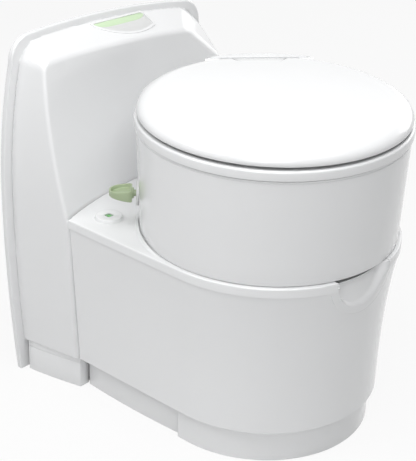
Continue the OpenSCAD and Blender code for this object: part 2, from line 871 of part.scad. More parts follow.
/* ---- hinge, seat and lid ---- */
// The segment of a disc of radius r that lies behind the hinge axis by at least back
module rear_segment(r, back, z0, z1) {
    translate([0, 0, z0]) linear_extrude(z1 - z0) intersection() {
        circle(r, $fn = fine);
        translate([-far - axis_x - back, -far]) square([far, 2 * far]);
    }
}

side_gap = 0.4;
edge_gap = 0.6;
knuckle_w = 5;
knuckle_y = block_half - knuckle_w;
arm_y = block_half + side_gap;
ear_w = 12.5;
ear_y1 = knuckle_y - side_gap;
ear_y0 = ear_y1 - ear_w;
notch_end = arm_y + arm_w + side_gap;

module at_hinge() {
    at_bowl(bowl_turn) translate([-axis_x, 0, axis_z]) children();
}

// A cylinder along the hinge axis from distance y0 to y1 on both sides
module on_axis(r, y0, y1) {
    for (side = [-1, 1]) translate([0, side * (y0 + y1) / 2, 0]) rotate([90, 0, 0])
        cylinder(r = r, h = y1 - y0, center = true);
}

module hinge_block() {
    color("white") difference() {
        union() {
            at_bowl(bowl_turn) rear_segment(seat_r - 1, 0.5, rim_z, seat_top);
            at_bowl(bowl_turn) intersection() {
                rear_segment(lid_r, axis_depth + 1, seat_top - 1, lid_top);
                block([-far, -block_half, 0], [0, block_half, far]);
            }
            at_hinge() on_axis(axis_depth, knuckle_y, block_half);
            at_hinge() both_sides()
                block([-axis_depth - 2, knuckle_y, -axis_depth], [0, block_half, axis_depth]);
        }
        at_hinge() both_sides()
            block([-axis_depth - 0.5, arm_y - side_gap, -far], [far, notch_end, far]);
        at_hinge() on_axis(pin_r, knuckle_y - 1, block_half + 1);
    }
}

module hinge_pins() {
    color("silver") at_hinge() on_axis(pin_r, ear_y0, arm_y + arm_w);
}

module seat_hole() {
    half = seat_hole_extra / 2;
    for (x = [-half, half]) translate([x, 0]) circle(seat_hole_r, $fn = fine);
    translate([-half, -seat_hole_r]) square([2 * half, 2 * seat_hole_r]);
}

module seat() {
    arm_low = seat_z - axis_z;
    color("white") difference() {
        union() {
            at_bowl(bowl_turn) translate([0, 0, seat_z]) intersection() {
                rotate_extrude($fn = fine) polygon([[0, 0], [seat_r - 2, 0], [seat_r, 2],
                    [seat_r, seat_t - 4], [seat_r - 1.2, seat_t - 1.2], [seat_r - 4, seat_t], [0, seat_t]]);
                block([-axis_x + edge_gap, -far, -1], [far, far, far]);
            }
            at_hinge() on_axis(axis_depth, arm_y, arm_y + arm_w);
            at_hinge() both_sides()
                block([-axis_depth, arm_y, arm_low], [axis_depth, arm_y + arm_w, 0]);
        }
        at_bowl(bowl_turn) translate([10, 0, seat_z - 1]) linear_extrude(far) seat_hole();
        at_hinge() on_axis(pin_r + pin_gap, arm_y - 1, arm_y + arm_w + 1);
    }
}

buffer_turns = [-60, -25, 25, 60];
module buffers(r, z0, z1, radius) {
    at_bowl(bowl_turn) for (a = buffer_turns) rotate([0, 0, a]) translate([r, 0, z0])
        cylinder(r = radius, h = z1 - z0);
}

module seat_buffers() {
    color("dimgray") buffers(seat_r - 25, rim_z + run_gap, seat_z, buffer_r);
}

lid_skirt = 3;
// Half outline of the lid: a crowned top, a quarter ellipse and a short skirt
function lid_line(t) = concat(
    [for (i = [0:6]) let (u = i / 6) [(lid_r - lid_round) * u, lid_h - t + lid_crown * (1 - u * u)]],
    [for (a = [75:-15:0]) [lid_r - lid_round + (lid_round - t) * cos(a),
                           lid_skirt + (lid_h - lid_skirt - t) * sin(a)]]);

module lid_disc(t) {
    translate([0, 0, lid_z]) rotate_extrude($fn = fine)
        polygon(concat(lid_line(t), t > 0 ? [[lid_r - t, -1], [0, -1]] : [[lid_r - 1, 0], [0, 0]]));
}

module lid() {
    rim_x = axis_depth + 4;
    color("white") difference() {
        union() {
            difference() {
                at_bowl(bowl_turn) lid_disc(0);
                intersection() {
                    at_bowl(bowl_turn) lid_disc(lid_t);
                    at_hinge() block([rim_x, -far, -far], [far, far, far]);
                }
                // rear notch in front of the hinge block
                at_hinge() block([-far, -knuckle_y, -far], [edge_gap, knuckle_y, far]);
            }
            buffers(lid_r - lid_round, lid_z, lid_top - lid_t, buffer_r + 1.5);
            at_hinge() on_axis(axis_depth, ear_y0, ear_y1);
        }
        // corners cut out for the block's knuckles and the seat's arms
        at_hinge() both_sides()
            block([-far, ear_y1, -far], [axis_depth + edge_gap, notch_end, far]);
        at_hinge() on_axis(pin_r + pin_gap, ear_y0 - 1, ear_y1 + 1);
    }
}

module lid_buffers() {
    color("dimgray") buffers(lid_r - lid_round, seat_top + run_gap, lid_z, buffer_r);
}

/* ---- valve knob and drive ---- */
function shell_r(z) =
    bowl_foot_r + (bowl_top_r - bowl_foot_r) * (z - turntable_top) / (shell_top - turntable_top);
knob_wall_r = shell_r(knob_z);
rod_teeth = 16;
ring_teeth = 79;
gear_module = 2 * rod_r / (rod_teeth + ring_teeth);
rod_t = 3;
rod_turn = bowl_turn + knob_side;
mitre_small = 6;
mitre_big = 12;

// z runs out along the knob's axis and is 0 at the bowl's wall
module at_knob() {
    at_bowl(rod_turn) translate([knob_wall_r, 0, knob_z]) rotate([0, 90, 0]) children();
}

module at_rod() {
    at_bowl(rod_turn) translate([rod_r, 0, 0]) children();
}

module knob_plate() {
    color("gainsboro") difference() {
        at_knob() difference() {
            translate([0, 0, -2]) cylinder(r = escutcheon_r, h = 5);
            cylinder(r = stem_r + pin_gap, h = far, center = true);
        }
        at_bowl() rotate_extrude($fn = fine)
            polygon([[0, turntable_top], [bowl_foot_r + 0.1, turntable_top],
                     [bowl_top_r + 0.1, shell_top], [0, shell_top]]);
    }
}

module valve_knob() {
    grip_z = 9;
    round_r = 4;
    tip_r = 9;
    half = knob_w / 2;
    color("darkseagreen") at_knob() {
        translate([0, 0, rod_r + mitre_small - knob_wall_r])
            cylinder(r = stem_r, h = knob_wall_r - rod_r - mitre_small + grip_z + 6);
        translate([0, 0, rod_r + mitre_small - knob_wall_r])
            cylinder(r1 = mitre_small - 0.3, r2 = mitre_big - 0.3, h = mitre_big - mitre_small);
        rotate([0, 0, 90]) difference() {
            hull() {
                for (side = [-1, 1]) translate([side * (half - round_r), 0, grip_z + round_r])
                    rotate([90, 0, 0]) cylinder(r = round_r, h = knob_t, center = true, $fn = 32);
                translate([0, 0, grip_z + knob_len - tip_r]) rotate([90, 0, 0])
                    cylinder(r = tip_r, h = knob_t - 3, center = true, $fn = 32);
            }
            for (side = [-1, 1]) hull() {
                for (end = [-1, 1]) translate([end * (half - 9), side * (knob_t / 2 + 1), grip_z + 8])
                    sphere(round_r, $fn = 24);
                translate([0, side * (knob_t / 2 + 1), grip_z + knob_len - 10]) sphere(round_r, $fn = 24);
            }
        }
    }
}

// A spur gear blank with plain flanks; its first tooth is centred on turn
module spur_gear(teeth, h, turn) {
    pitch_r = gear_module * teeth / 2;
    root = pitch_r - gear_module;
    tip = pitch_r + 0.75 * gear_module;
    step = 360 / teeth;
    linear_extrude(h) polygon([for (i = [0:teeth - 1], p = [[-0.36, root], [-0.12, tip], [0.12, tip],
        [0.36, root]]) let (a = turn + (i + p[0]) * step) [p[1] * cos(a), p[1] * sin(a)]]);
}

module drive_rod() {
    mitre_z = knob_z - mitre_big;
    color("gainsboro") at_rod() {
        translate([0, 0, gear_z]) cylinder(r = rod_t, h = knob_z - mitre_small - 1 - gear_z);
        translate([0, 0, gear_z]) spur_gear(rod_teeth, gear_t, 180);
        translate([0, 0, mitre_z])
            cylinder(r1 = mitre_big - 0.3, r2 = mitre_small - 0.3, h = mitre_big - mitre_small);
        translate([0, 0, turntable_top + run_gap]) cylinder(r = rod_t + 3, h = 3);
    }
}

module opener_ring() {
    window_r = 12;
    window_at = 70;
    color("gainsboro") at_bowl(rod_turn) translate([0, 0, gear_z]) difference() {
        spur_gear(ring_teeth, gear_t, 180 / ring_teeth);
        translate([0, 0, -1]) cylinder(r = outlet_r + liner_t + pin_gap, h = gear_t + 2);
        for (a = [0:60:300]) rotate([0, 0, a]) translate([window_at, 0, -1])
            cylinder(r = window_r, h = gear_t + 2);
    }
}

/* ---- waste tank ---- */
spout_x = tank_x + 40;
spout_y = -86;
spout_len = 96;
spout_z = bay_z + run_gap;
elbow_z = 30;
vent_x = tank_x + 30;
vent_y = 118;
vent_r = 4;
float_x = bowl_x - outlet_r - 69;
float_y = -122;
float_z = tank_top - 24;
float_drop = 50;
wheel_x = bowl_x + 74;
wheel_y = tank_r - 48;
wheel_z = tray_t + wheel_r + run_gap;
pocket_half = 8;
pocket_wall = 8;
grip_x = tank_x + 8;
grip_z = tank_z + 64;
grip_half = 45;
grip_drop = 46;

module tank_outline(inset) {
    translate([bowl_x, 0]) circle(tank_r - inset, $fn = fine);
    translate([tank_x + inset, inset - tank_r]) square([bowl_x - tank_x - inset, 2 * (tank_r - inset)]);
}

module waste_tank() {
    pocket_top = tank_z + 2 * wheel_r + 7;
    color("whitesmoke") difference() {
        union() {
            difference() {
                translate([0, 0, tank_z]) linear_extrude(tank_h) tank_outline(0);
                translate([0, 0, tank_z + tank_wall]) linear_extrude(tank_h - 2 * tank_wall)
                    tank_outline(tank_wall);
            }
            // floor and front wall of the spout's bay
            block([tank_x, -tank_r, bay_z - tank_wall], [bay_x + tank_wall, tank_r, tank_top]);
            // housings of the wheels
            both_sides() block([wheel_x - 20, wheel_y - pocket_half - pocket_wall, tank_z],
                               [wheel_x + 20, wheel_y + pocket_half + pocket_wall, pocket_top + tank_wall]);
            // housing of the handle
            block([tank_x, -grip_half - 15, tank_z], [grip_x + 18, grip_half + 15, grip_z + 16]);
            // lugs of the float arm
            for (side = [-1, 1]) translate([float_x, float_y + side * 8.5, 0])
                block([-5, -1.5, float_z - 6], [5, 1.5, tank_top - 1]);
        }
        block([tank_x - 1, -far, bay_z], [bay_x, far, far]);
        at_bowl() translate([0, 0, tank_top - 10]) cylinder(r = outlet_r, h = 20);
        at_spout() cylinder(r = spout_r - 4, h = 20, center = true);
        at_vent() cylinder(r = vent_r + 2, h = 20, center = true);
        both_sides() {
            block([wheel_x - 16, wheel_y - pocket_half, -1],
                  [wheel_x + 16, wheel_y + pocket_half, pocket_top]);
            translate([wheel_x, wheel_y, wheel_z]) rotate([90, 0, 0])
                cylinder(r = axle_r, h = 2 * (pocket_half + pocket_wall - 2), center = true);
        }
        block([tank_x - 1, -grip_half - 7, tank_z + 8], [grip_x + 14, grip_half + 7, grip_z + 8]);
        translate([grip_x, 0, grip_z]) rotate([90, 0, 0])
            cylinder(r = 3, h = 2 * (grip_half + 13), center = true);
        translate([float_x, float_y, float_z]) rotate([90, 0, 0])
            cylinder(r = 3 + pin_gap, h = 30, center = true);
    }
}

module wheel_pins() {
    color("silver") both_sides() translate([wheel_x, wheel_y, wheel_z]) rotate([90, 0, 0])
        cylinder(r = axle_r, h = 2 * (pocket_half + pocket_wall - 2), center = true);
}

module wheel(side) {
    color("dimgray") translate([wheel_x, side * wheel_y, wheel_z]) rotate([90, 0, 0]) difference() {
        union() {
            cylinder(r = wheel_r, h = wheel_w, center = true);
            cylinder(r = axle_r + 3, h = 2 * (pocket_half - run_gap), center = true);
        }
        cylinder(r = axle_r + pin_gap, h = far, center = true);
    }
}

module near_wheel() { wheel(-1); }
module far_wheel() { wheel(1); }

module valve_frame() {
    side = outlet_r + 6 + run_gap;
    color("gainsboro") difference() {
        union() {
            at_bowl() translate([0, 0, tank_top]) cylinder(r = outlet_r + 18, h = frame_h);
            block([bowl_x - frame_rear, -outlet_r - 14, tank_top], [bowl_x, outlet_r + 14, frame_top - 2]);
        }
        at_bowl() translate([0, 0, tank_top - 1]) cylinder(r = outlet_r, h = frame_h + 2);
        translate([0, 0, blade_z - run_gap]) linear_extrude(blade_t + 2 * run_gap) {
            translate([bowl_x, 0]) circle(side);
            translate([bowl_x - frame_rear - 1, -side]) square([frame_rear + 1, 2 * side]);
        }
    }
}

module lip_seal() {
    color("dimgray") at_bowl() translate([0, 0, frame_top]) tube(outlet_r + 9, outlet_r, seal_t);
}

module valve_blade() {
    side = outlet_r + 6;
    color("lightgray") translate([0, 0, blade_z]) linear_extrude(blade_t) {
        translate([bowl_x, 0]) circle(side);
        translate([bowl_x - side - 8, -side]) square([side + 8, 2 * side]);
    }
}

module at_spout() {
    translate([spout_x, spout_y, spout_z]) children();
}

module spout_form(r) {
    translate([0, 0, elbow_z]) sphere(r, $fn = 48);
    translate([0, 0, elbow_z]) rotate([-90, 0, 0]) cylinder(r = r, h = spout_len);
}

module pour_spout() {
    bore = spout_r - 4;
    color("whitesmoke") at_spout() difference() {
        union() {
            translate([0, 0, -4]) cylinder(r = bore - pin_gap, h = 10);
            cylinder(r = spout_r + 4, h = 6);
            cylinder(r = spout_r, h = elbow_z);
            spout_form(spout_r);
        }
        translate([0, 0, -5]) cylinder(r = bore - 4, h = elbow_z + 5);
        spout_form(bore);
        translate([0, 0, elbow_z]) rotate([-90, 0, 0]) cylinder(r = bore, h = far);
    }
}

module spout_cap() {
    skirt = 10;
    grip_r = spout_r + 2.6;
    rib_r = 1;
    color("gray") at_spout() translate([0, spout_len + run_gap, elbow_z]) rotate([-90, 0, 0]) difference() {
        union() {
            translate([0, 0, -skirt]) cylinder(r = grip_r - 0.8, h = skirt + 2.5);
            for (a = [0:30:330]) rotate([0, 0, a]) translate([grip_r - rib_r, 0, -skirt])
                cylinder(r = rib_r, h = skirt + 1);
        }
        translate([0, 0, -skirt - 1]) cylinder(r = spout_r + pin_gap, h = skirt + 1);
    }
}

module at_vent() {
    translate([vent_x, vent_y, bay_z]) children();
}

module vent_stem_seal() {
    color("dimgray") at_vent() translate([0, 0, -tank_wall])
        tube(vent_r + 2, vent_r + pin_gap, tank_wall + 0.5);
}

module vent_button() {
    color("gray") at_vent() {
        translate([0, 0, -tank_wall - 3]) cylinder(r = vent_r, h = tank_wall + 8);
        translate([0, 0, 4]) cylinder(r = vent_r + 5, h = 5);
    }
}

module float_arm() {
    arm = 90;
    color("gainsboro") translate([float_x, float_y, float_z]) rotate([0, -float_drop, 0]) {
        rotate([90, 0, 0]) cylinder(r = 3, h = 20, center = true);
        block([-arm, -2.5, -2], [0, 2.5, 2]);
        translate([-arm, 0, 0]) rotate([90, 0, 0]) cylinder(r = 16, h = 24, center = true);
    }
}

module handle_pins() {
    color("silver") both_sides() translate([grip_x, grip_half + 5, grip_z]) rotate([90, 0, 0])
        cylinder(r = 3, h = 16, center = true);
}

module grab_handle() {
    bar_r = 5;
    color("gray") translate([grip_x, 0, grip_z]) difference() {
        union() {
            for (side = [-1, 1]) translate([0, side * grip_half, 0]) {
                rotate([90, 0, 0]) cylinder(r = 6, h = 8, center = true);
                block([-4, -4, -grip_drop], [4, 4, 0]);
            }
            translate([0, 0, -grip_drop]) rotate([90, 0, 0])
                cylinder(r = bar_r, h = 2 * grip_half + 8, center = true);
        }
        rotate([90, 0, 0]) cylinder(r = 3 + pin_gap, h = far, center = true);
    }
}

wall_flange();
console_housing();
console_plinth();
bench_plinth();
front_plinth();
base_body();
bench_top();
floor_tray();
guide_rails();
indicator_bezel();
indicator_lens();
level_flag();
control_plate();
flush_button();
button_spring();
water_tank();
flush_pump();
control_board();
turntable();
retaining_ring();
bowl_shell();
bowl_liner();
flush_nozzle();
outlet_seal();
hinge_block();
hinge_pins();
seat();
seat_buffers();
lid();
lid_buffers();
knob_plate();
valve_knob();
drive_rod();
opener_ring();
waste_tank();
valve_frame();
lip_seal();
valve_blade();
pour_spout();
spout_cap();
vent_button();
vent_stem_seal();
float_arm();
grab_handle();
handle_pins();
wheel_pins();
near_wheel();
far_wheel();
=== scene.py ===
import bpy
import math
import numpy as np
from mathutils import Matrix, Vector


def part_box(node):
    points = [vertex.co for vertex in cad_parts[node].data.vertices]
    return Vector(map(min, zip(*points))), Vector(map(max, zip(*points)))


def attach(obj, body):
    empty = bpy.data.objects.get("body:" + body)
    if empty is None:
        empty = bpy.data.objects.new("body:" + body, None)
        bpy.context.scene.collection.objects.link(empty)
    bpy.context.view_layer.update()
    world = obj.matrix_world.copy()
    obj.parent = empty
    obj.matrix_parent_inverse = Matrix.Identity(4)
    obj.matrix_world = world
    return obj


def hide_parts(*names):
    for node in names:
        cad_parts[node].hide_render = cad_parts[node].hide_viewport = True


# a bench toilet whose round bowl swivels, with a wall console and a waste tank below
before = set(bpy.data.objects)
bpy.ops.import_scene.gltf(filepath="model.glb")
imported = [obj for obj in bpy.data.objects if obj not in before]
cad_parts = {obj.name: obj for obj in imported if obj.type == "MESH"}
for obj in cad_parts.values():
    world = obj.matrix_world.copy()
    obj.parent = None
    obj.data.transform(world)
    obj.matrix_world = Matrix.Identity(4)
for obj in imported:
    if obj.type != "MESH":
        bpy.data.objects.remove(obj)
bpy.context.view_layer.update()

# the main sizes, read from the frame
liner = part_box("bowl_liner")
bowlX = (liner[0].x + liner[1].x) / 2
rimZ = liner[1].z
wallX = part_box("wall_flange")[0].x
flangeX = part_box("wall_flange")[1].x
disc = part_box("indicator_bezel")
discX, discY = (disc[0].x + disc[1].x) / 2, (disc[0].y + disc[1].y) / 2
bowlTurn = math.radians(-43)
# the boxes that cut the bowl's pieces: reach to the sides, lowest and highest point
cutSide, cutLow, cutHigh = 0.3, 0.4, 0.6


# small helpers for working in edit mode
def deselectAll():
    bpy.ops.object.select_all(action="DESELECT")


def activate(obj):
    deselectAll()
    obj.select_set(True)
    bpy.context.view_layer.objects.active = obj


def newPiece(name):
    obj = bpy.context.active_object
    obj.name = name
    obj.data.name = name
    return obj


def applyPlace(obj):
    activate(obj)
    bpy.ops.object.transform_apply(location=True, rotation=True, scale=True)


# edit mode on one piece, with all of it selected
def editAll(obj):
    activate(obj)
    bpy.ops.object.mode_set(mode="EDIT")
    bpy.ops.mesh.select_all(action="SELECT")


def extrudeBy(step):
    bpy.ops.mesh.extrude_region_move(TRANSFORM_OT_translate={"value": step})


def addModifier(obj, kind, **settings):
    mod = obj.modifiers.new(kind.title(), kind)
    for key, value in settings.items():
        setattr(mod, key, value)
    activate(obj)
    bpy.ops.object.modifier_apply(modifier=mod.name)


# rounds the edges that turn by more than the angle, in degrees
def soften(obj, width, segments, angle, clamp=True):
    addModifier(obj, "BEVEL", width=width, segments=segments, limit_method="ANGLE",
                angle_limit=math.radians(angle), use_clamp_overlap=clamp)


def cleanUp(obj, distance=1e-5):
    editAll(obj)
    bpy.ops.mesh.remove_doubles(threshold=distance)
    bpy.ops.mesh.normals_make_consistent(inside=False)
    bpy.ops.object.mode_set(mode="OBJECT")


# gives a finished piece its place, material, shading and body
def finish(obj, body, material, nodes=(), angle=40):
    applyPlace(obj)
    obj.data.materials.clear()
    obj.data.materials.append(material)
    bpy.ops.object.shade_smooth_by_angle(angle=math.radians(angle))
    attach(obj, body)
    if nodes:
        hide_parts(*nodes)


# a single vertex that edit mode then draws out into an outline
def startPoint(name, point):
    deselectAll()
    bpy.ops.mesh.primitive_plane_add(size=0.001, location=(0, 0, 0))
    obj = newPiece(name)
    bpy.ops.object.mode_set(mode="EDIT")
    bpy.ops.mesh.select_all(action="SELECT")
    bpy.ops.mesh.merge(type="CENTER")
    bpy.ops.transform.translate(value=point)
    return obj


# draws an outline through the points, each one extruded from the last
def drawLine(points, closed=False):
    for a, b in zip(points, points[1:]):
        extrudeBy([q - p for p, q in zip(a, b)])
    bpy.ops.mesh.select_all(action="SELECT")
    if closed:
        bpy.ops.mesh.remove_doubles(threshold=1e-6)


# turns a half outline (radius, height) about an upright axis
def turned(name, outline, centre, steps=160):
    points = [[centre[0] + r, centre[1], z] for r, z in outline]
    obj = startPoint(name, points[0])
    drawLine(points)
    bpy.ops.mesh.spin(steps=steps, angle=2 * math.pi, center=(*centre, 0), axis=(0, 0, 1))
    bpy.ops.object.mode_set(mode="OBJECT")
    cleanUp(obj)
    return obj


# points along an arc from angle a0 to a1, in degrees
def arc(cx, cy, radius, a0, a1, steps=6):
    angles = [math.radians(a0 + (a1 - a0) * i / steps) for i in range(steps + 1)]
    return [(cx + radius * math.cos(a), cy + radius * math.sin(a)) for a in angles]


# cuts one piece out of another, and removes the cutter
def cutWith(obj, cutter):
    mod = obj.modifiers.new("Cut", "BOOLEAN")
    mod.operation = "DIFFERENCE"
    mod.object = cutter
    mod.solver = "EXACT"
    activate(obj)
    bpy.ops.object.modifier_apply(modifier=mod.name)
    bpy.data.objects.remove(cutter)


def boxPiece(name, low, high):
    deselectAll()
    centre = [(a + b) / 2 for a, b in zip(low, high)]
    bpy.ops.mesh.primitive_cube_add(size=1, location=centre, scale=[b - a for a, b in zip(low, high)])
    obj = newPiece(name)
    applyPlace(obj)
    return obj


# a cylinder lying along X
def rodPiece(name, radius, length, centre, vertices):
    deselectAll()
    bpy.ops.mesh.primitive_cylinder_add(vertices=vertices, radius=radius, depth=length,
                                        rotation=(0, math.pi / 2, 0), location=centre)
    return newPiece(name)


def turnAboutBowl(obj, angle):
    obj.matrix_world = (Matrix.Translation((bowlX, 0, 0)) @ Matrix.Rotation(angle, 4, "Z")
                        @ Matrix.Translation((-bowlX, 0, 0)) @ obj.matrix_world)
    applyPlace(obj)


print("frame loaded")


# materials
# moulded plastic: a faint unevenness in its colour, gloss and surface
def plastic(name, colour, roughness=0.25, grain=900.0, unevenness=0.02, bump=0.02, coat=0.0):
    mat = bpy.data.materials.new(name)
    mat.use_nodes = True
    nodes, links = mat.node_tree.nodes, mat.node_tree.links
    shader = nodes["Principled BSDF"]
    place = nodes.new("ShaderNodeTexCoord")
    cloud = nodes.new("ShaderNodeTexNoise")
    cloud.inputs["Scale"].default_value = 9.0
    cloud.inputs["Detail"].default_value = 4.0
    links.new(place.outputs["Object"], cloud.inputs["Vector"])
    tint = nodes.new("ShaderNodeValToRGB")
    dark = [c * (1 - unevenness) for c in colour]
    tint.color_ramp.elements[0].color = (*dark, 1)
    tint.color_ramp.elements[1].color = (*colour, 1)
    tint.color_ramp.elements[0].position = 0.3
    tint.color_ramp.elements[1].position = 0.7
    links.new(cloud.outputs["Fac"], tint.inputs["Fac"])
    links.new(tint.outputs["Color"], shader.inputs["Base Color"])
    gloss = nodes.new("ShaderNodeMapRange")
    gloss.inputs["To Min"].default_value = roughness * 0.9
    gloss.inputs["To Max"].default_value = roughness * 1.1
    links.new(cloud.outputs["Fac"], gloss.inputs["Value"])
    links.new(gloss.outputs["Result"], shader.inputs["Roughness"])
    fine = nodes.new("ShaderNodeTexNoise")
    fine.inputs["Scale"].default_value = grain
    links.new(place.outputs["Object"], fine.inputs["Vector"])
    relief = nodes.new("ShaderNodeBump")
    relief.inputs["Strength"].default_value = bump
    relief.inputs["Distance"].default_value = 0.0003
    links.new(fine.outputs["Fac"], relief.inputs["Height"])
    links.new(relief.outputs["Normal"], shader.inputs["Normal"])
    shader.inputs["IOR"].default_value = 1.49
    if coat:
        shader.inputs["Coat Weight"].default_value = coat
        shader.inputs["Coat Roughness"].default_value = 0.04
    return mat


def metal(name, colour, roughness=0.3):
    mat = plastic(name, colour, roughness, grain=400.0, bump=0.05)
    mat.node_tree.nodes["Principled BSDF"].inputs["Metallic"].default_value = 1.0
    return mat


def clearWindow(name):
    mat = plastic(name, (0.95, 0.97, 0.96), 0.05, bump=0.0)
    mat.node_tree.nodes["Principled BSDF"].inputs["Transmission Weight"].default_value = 1.0
    return mat


whiteCover = plastic("whiteCover", (0.80, 0.805, 0.81), 0.22, unevenness=0.008, bump=0.01, coat=0.6)
lightGrey = plastic("lightGreyPlastic", (0.66, 0.665, 0.66), 0.3)
plateGreen = plastic("plateGreen", (0.585, 0.735, 0.50), 0.3)
flagGreen = plastic("flagGreen", (0.16, 0.78, 0.14), 0.35)
knobGreen = plastic("knobGreen", (0.36, 0.44, 0.27), 0.35, coat=0.4)
tankPlastic = plastic("tankPlastic", (0.62, 0.63, 0.63), 0.45, unevenness=0.06, bump=0.15)
darkGrey = plastic("darkGreyPlastic", (0.09, 0.095, 0.10), 0.4, bump=0.08)
rubber = plastic("rubber", (0.025, 0.025, 0.025), 0.65, bump=0.1)
steel = metal("steelPin", (0.62, 0.63, 0.65))
boardGreen = plastic("circuitBoard", (0.03, 0.13, 0.05), 0.4)
window = clearWindow("window")

# what each CAD node that stays is made of
nodeFinish = {
    whiteCover: ["turntable", "bowl_liner"],
    lightGrey: ["floor_tray", "guide_rails", "retaining_ring", "drive_rod", "opener_ring", "valve_frame",
                "flush_nozzle"],
    flagGreen: ["level_flag"],
    tankPlastic: ["waste_tank", "pour_spout", "water_tank", "float_arm"],
    darkGrey: ["flush_pump", "spout_cap", "vent_button", "grab_handle", "valve_blade", "near_wheel",
               "far_wheel"],
    rubber: ["outlet_seal", "seat_buffers", "lid_buffers", "lip_seal", "vent_stem_seal"],
    steel: ["hinge_pins", "button_spring", "handle_pins", "wheel_pins"],
    boardGreen: ["control_board"],
    window: ["indicator_lens"],
}


def finishNodes():
    for material, names in nodeFinish.items():
        for name in names:
            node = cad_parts[name]
            node.data.materials.clear()
            node.data.materials.append(material)


# lid, seat and hinge
lidSizes = {"radius": 0.200, "round": 0.024, "height": 0.019, "crown": 0.006, "skirt": 0.003, "wall": 0.003,
            "axisX": 0.172, "axisDepth": 0.0035, "edgeGap": 0.0006, "knuckleY": 0.075, "notchEnd": 0.0848,
            "earIn": 0.0621, "earOut": 0.0746}
seatSizes = {"radius": 0.203, "edge": 0.0035, "holeWidth": 0.118, "holeExtra": 0.025, "holeShift": 0.010,
             "armY": 0.0804, "armWidth": 0.004, "thickness": 0.015, "foot": 0.002, "holeSoft": 0.004}
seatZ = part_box("seat_buffers")[1].z
seatTop = seatZ + seatSizes["thickness"]
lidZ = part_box("lid_buffers")[1].z
lidTop = lidZ + lidSizes["height"]
axisZ = lidTop - lidSizes["axisDepth"]


# the lid's half outline: crowned top, elliptical edge, short skirt
def lidLine(wall):
    s = lidSizes
    inner = s["radius"] - s["round"]
    top = [(inner * i / 8, lidTop - wall + s["crown"] * (1 - (i / 8) ** 2)) for i in range(9)]
    edge = []
    for i in range(1, 13):
        a = math.radians(90 - 7.5 * i)
        edge.append((inner + (s["round"] - wall) * math.cos(a),
                     lidZ + s["skirt"] + (s["height"] - s["skirt"] - wall) * math.sin(a)))
    return top + edge


# a short cylinder on the hinge axis
def pinBarrel(name, radius, y0, y1):
    deselectAll()
    centre = (bowlX - lidSizes["axisX"], (y0 + y1) / 2, axisZ)
    bpy.ops.mesh.primitive_cylinder_add(vertices=32, radius=radius, depth=y1 - y0,
                                        rotation=(math.pi / 2, 0, 0), location=centre)
    return newPiece(name)


def joinInto(obj, others):
    activate(obj)
    for other in others:
        other.select_set(True)
    bpy.ops.object.join()


def makeLid():
    s = lidSizes
    r = s["radius"]
    outline = lidLine(0) + [(r - 0.0004, lidZ + 0.001), (r - 0.001, lidZ), (0, lidZ)]
    lid = turned("lidShell", outline, (bowlX, 0))
    w = s["wall"]
    hollow = turned("lidHollow", lidLine(w) + [(r - w, lidZ - 0.001), (0, lidZ - 0.001)], (bowlX, 0))
    editAll(hollow)
    rimX = bowlX - s["axisX"] + s["axisDepth"] + 0.004
    bpy.ops.mesh.bisect(plane_co=(rimX, 0, 0), plane_no=(-1, 0, 0), use_fill=True, clear_outer=True)
    bpy.ops.object.mode_set(mode="OBJECT")
    cutWith(lid, hollow)
    edge = bowlX - s["axisX"] + s["edgeGap"]
    back = bowlX - r - 0.02
    cutWith(lid, boxPiece("notch", (back, -s["knuckleY"], cutLow), (edge, s["knuckleY"], cutHigh)))
    corner = bowlX - s["axisX"] + s["axisDepth"] + s["edgeGap"]
    for low, high in ((s["earOut"], s["notchEnd"]), (-s["notchEnd"], -s["earOut"])):
        cutWith(lid, boxPiece("corner", (back, low, cutLow), (corner, high, cutHigh)))
    cleanUp(lid)
    soften(lid, 0.0008, 2, 50, clamp=False)
    earEnds = (s["earIn"], s["earOut"]), (-s["earOut"], -s["earIn"])
    joinInto(lid, [pinBarrel("ear", s["axisDepth"], *ends) for ends in earEnds])
    turnAboutBowl(lid, bowlTurn)
    finish(lid, "lid", whiteCover, ["lid"], 35)


def makeSeat():
    s = seatSizes
    r, e = s["radius"], s["edge"]
    foot = s["foot"]
    outline = [(0, seatTop)] + arc(r - e, seatTop - e, e, 90, 0, 6)
    outline += arc(r - foot, seatZ + foot, foot, 0, -90, 4) + [(0, seatZ)]
    seat = turned("seatRing", outline, (bowlX, 0))
    chord = bowlX - lidSizes["axisX"] + lidSizes["edgeGap"]
    cutWith(seat, boxPiece("chord", (bowlX - cutSide, -cutSide, cutLow), (chord, cutSide, cutHigh)))
    deselectAll()
    bpy.ops.mesh.primitive_cylinder_add(vertices=128, radius=s["holeWidth"], depth=0.1,
                                        location=(bowlX + s["holeShift"], 0, seatZ))
    hole = newPiece("hole")
    for v in hole.data.vertices:
        v.co.x += s["holeExtra"] * (1 if v.co.x > 0 else -1)
    cutWith(seat, hole)
    cleanUp(seat)
    soften(seat, s["holeSoft"], 4, 60)
    arms = []
    axisX = bowlX - lidSizes["axisX"]
    d = lidSizes["axisDepth"]
    for side in (-1, 1):
        y0 = min(side * s["armY"], side * (s["armY"] + s["armWidth"]))
        arm = boxPiece("arm", (axisX - d, y0, seatZ), (axisX + d, y0 + s["armWidth"], axisZ))
        arms += [arm, pinBarrel("barrel", d, y0, y0 + s["armWidth"])]
    joinInto(seat, arms)
    turnAboutBowl(seat, bowlTurn)
    finish(seat, "seat", whiteCover, ["seat"], 35)


# the part of a round slab that lies behind the hinge line
def rearSlab(name, radius, back, z0, z1, edge):
    outline = [(0, z1)] + arc(radius - edge, z1 - edge, edge, 90, 0, 4) + [(radius, z0), (0, z0)]
    slab = turned(name, outline, (bowlX, 0))
    low = (bowlX - lidSizes["axisX"] - back, -cutSide, cutLow)
    cutWith(slab, boxPiece("front", low, (bowlX + cutSide, cutSide, cutHigh)))
    return slab


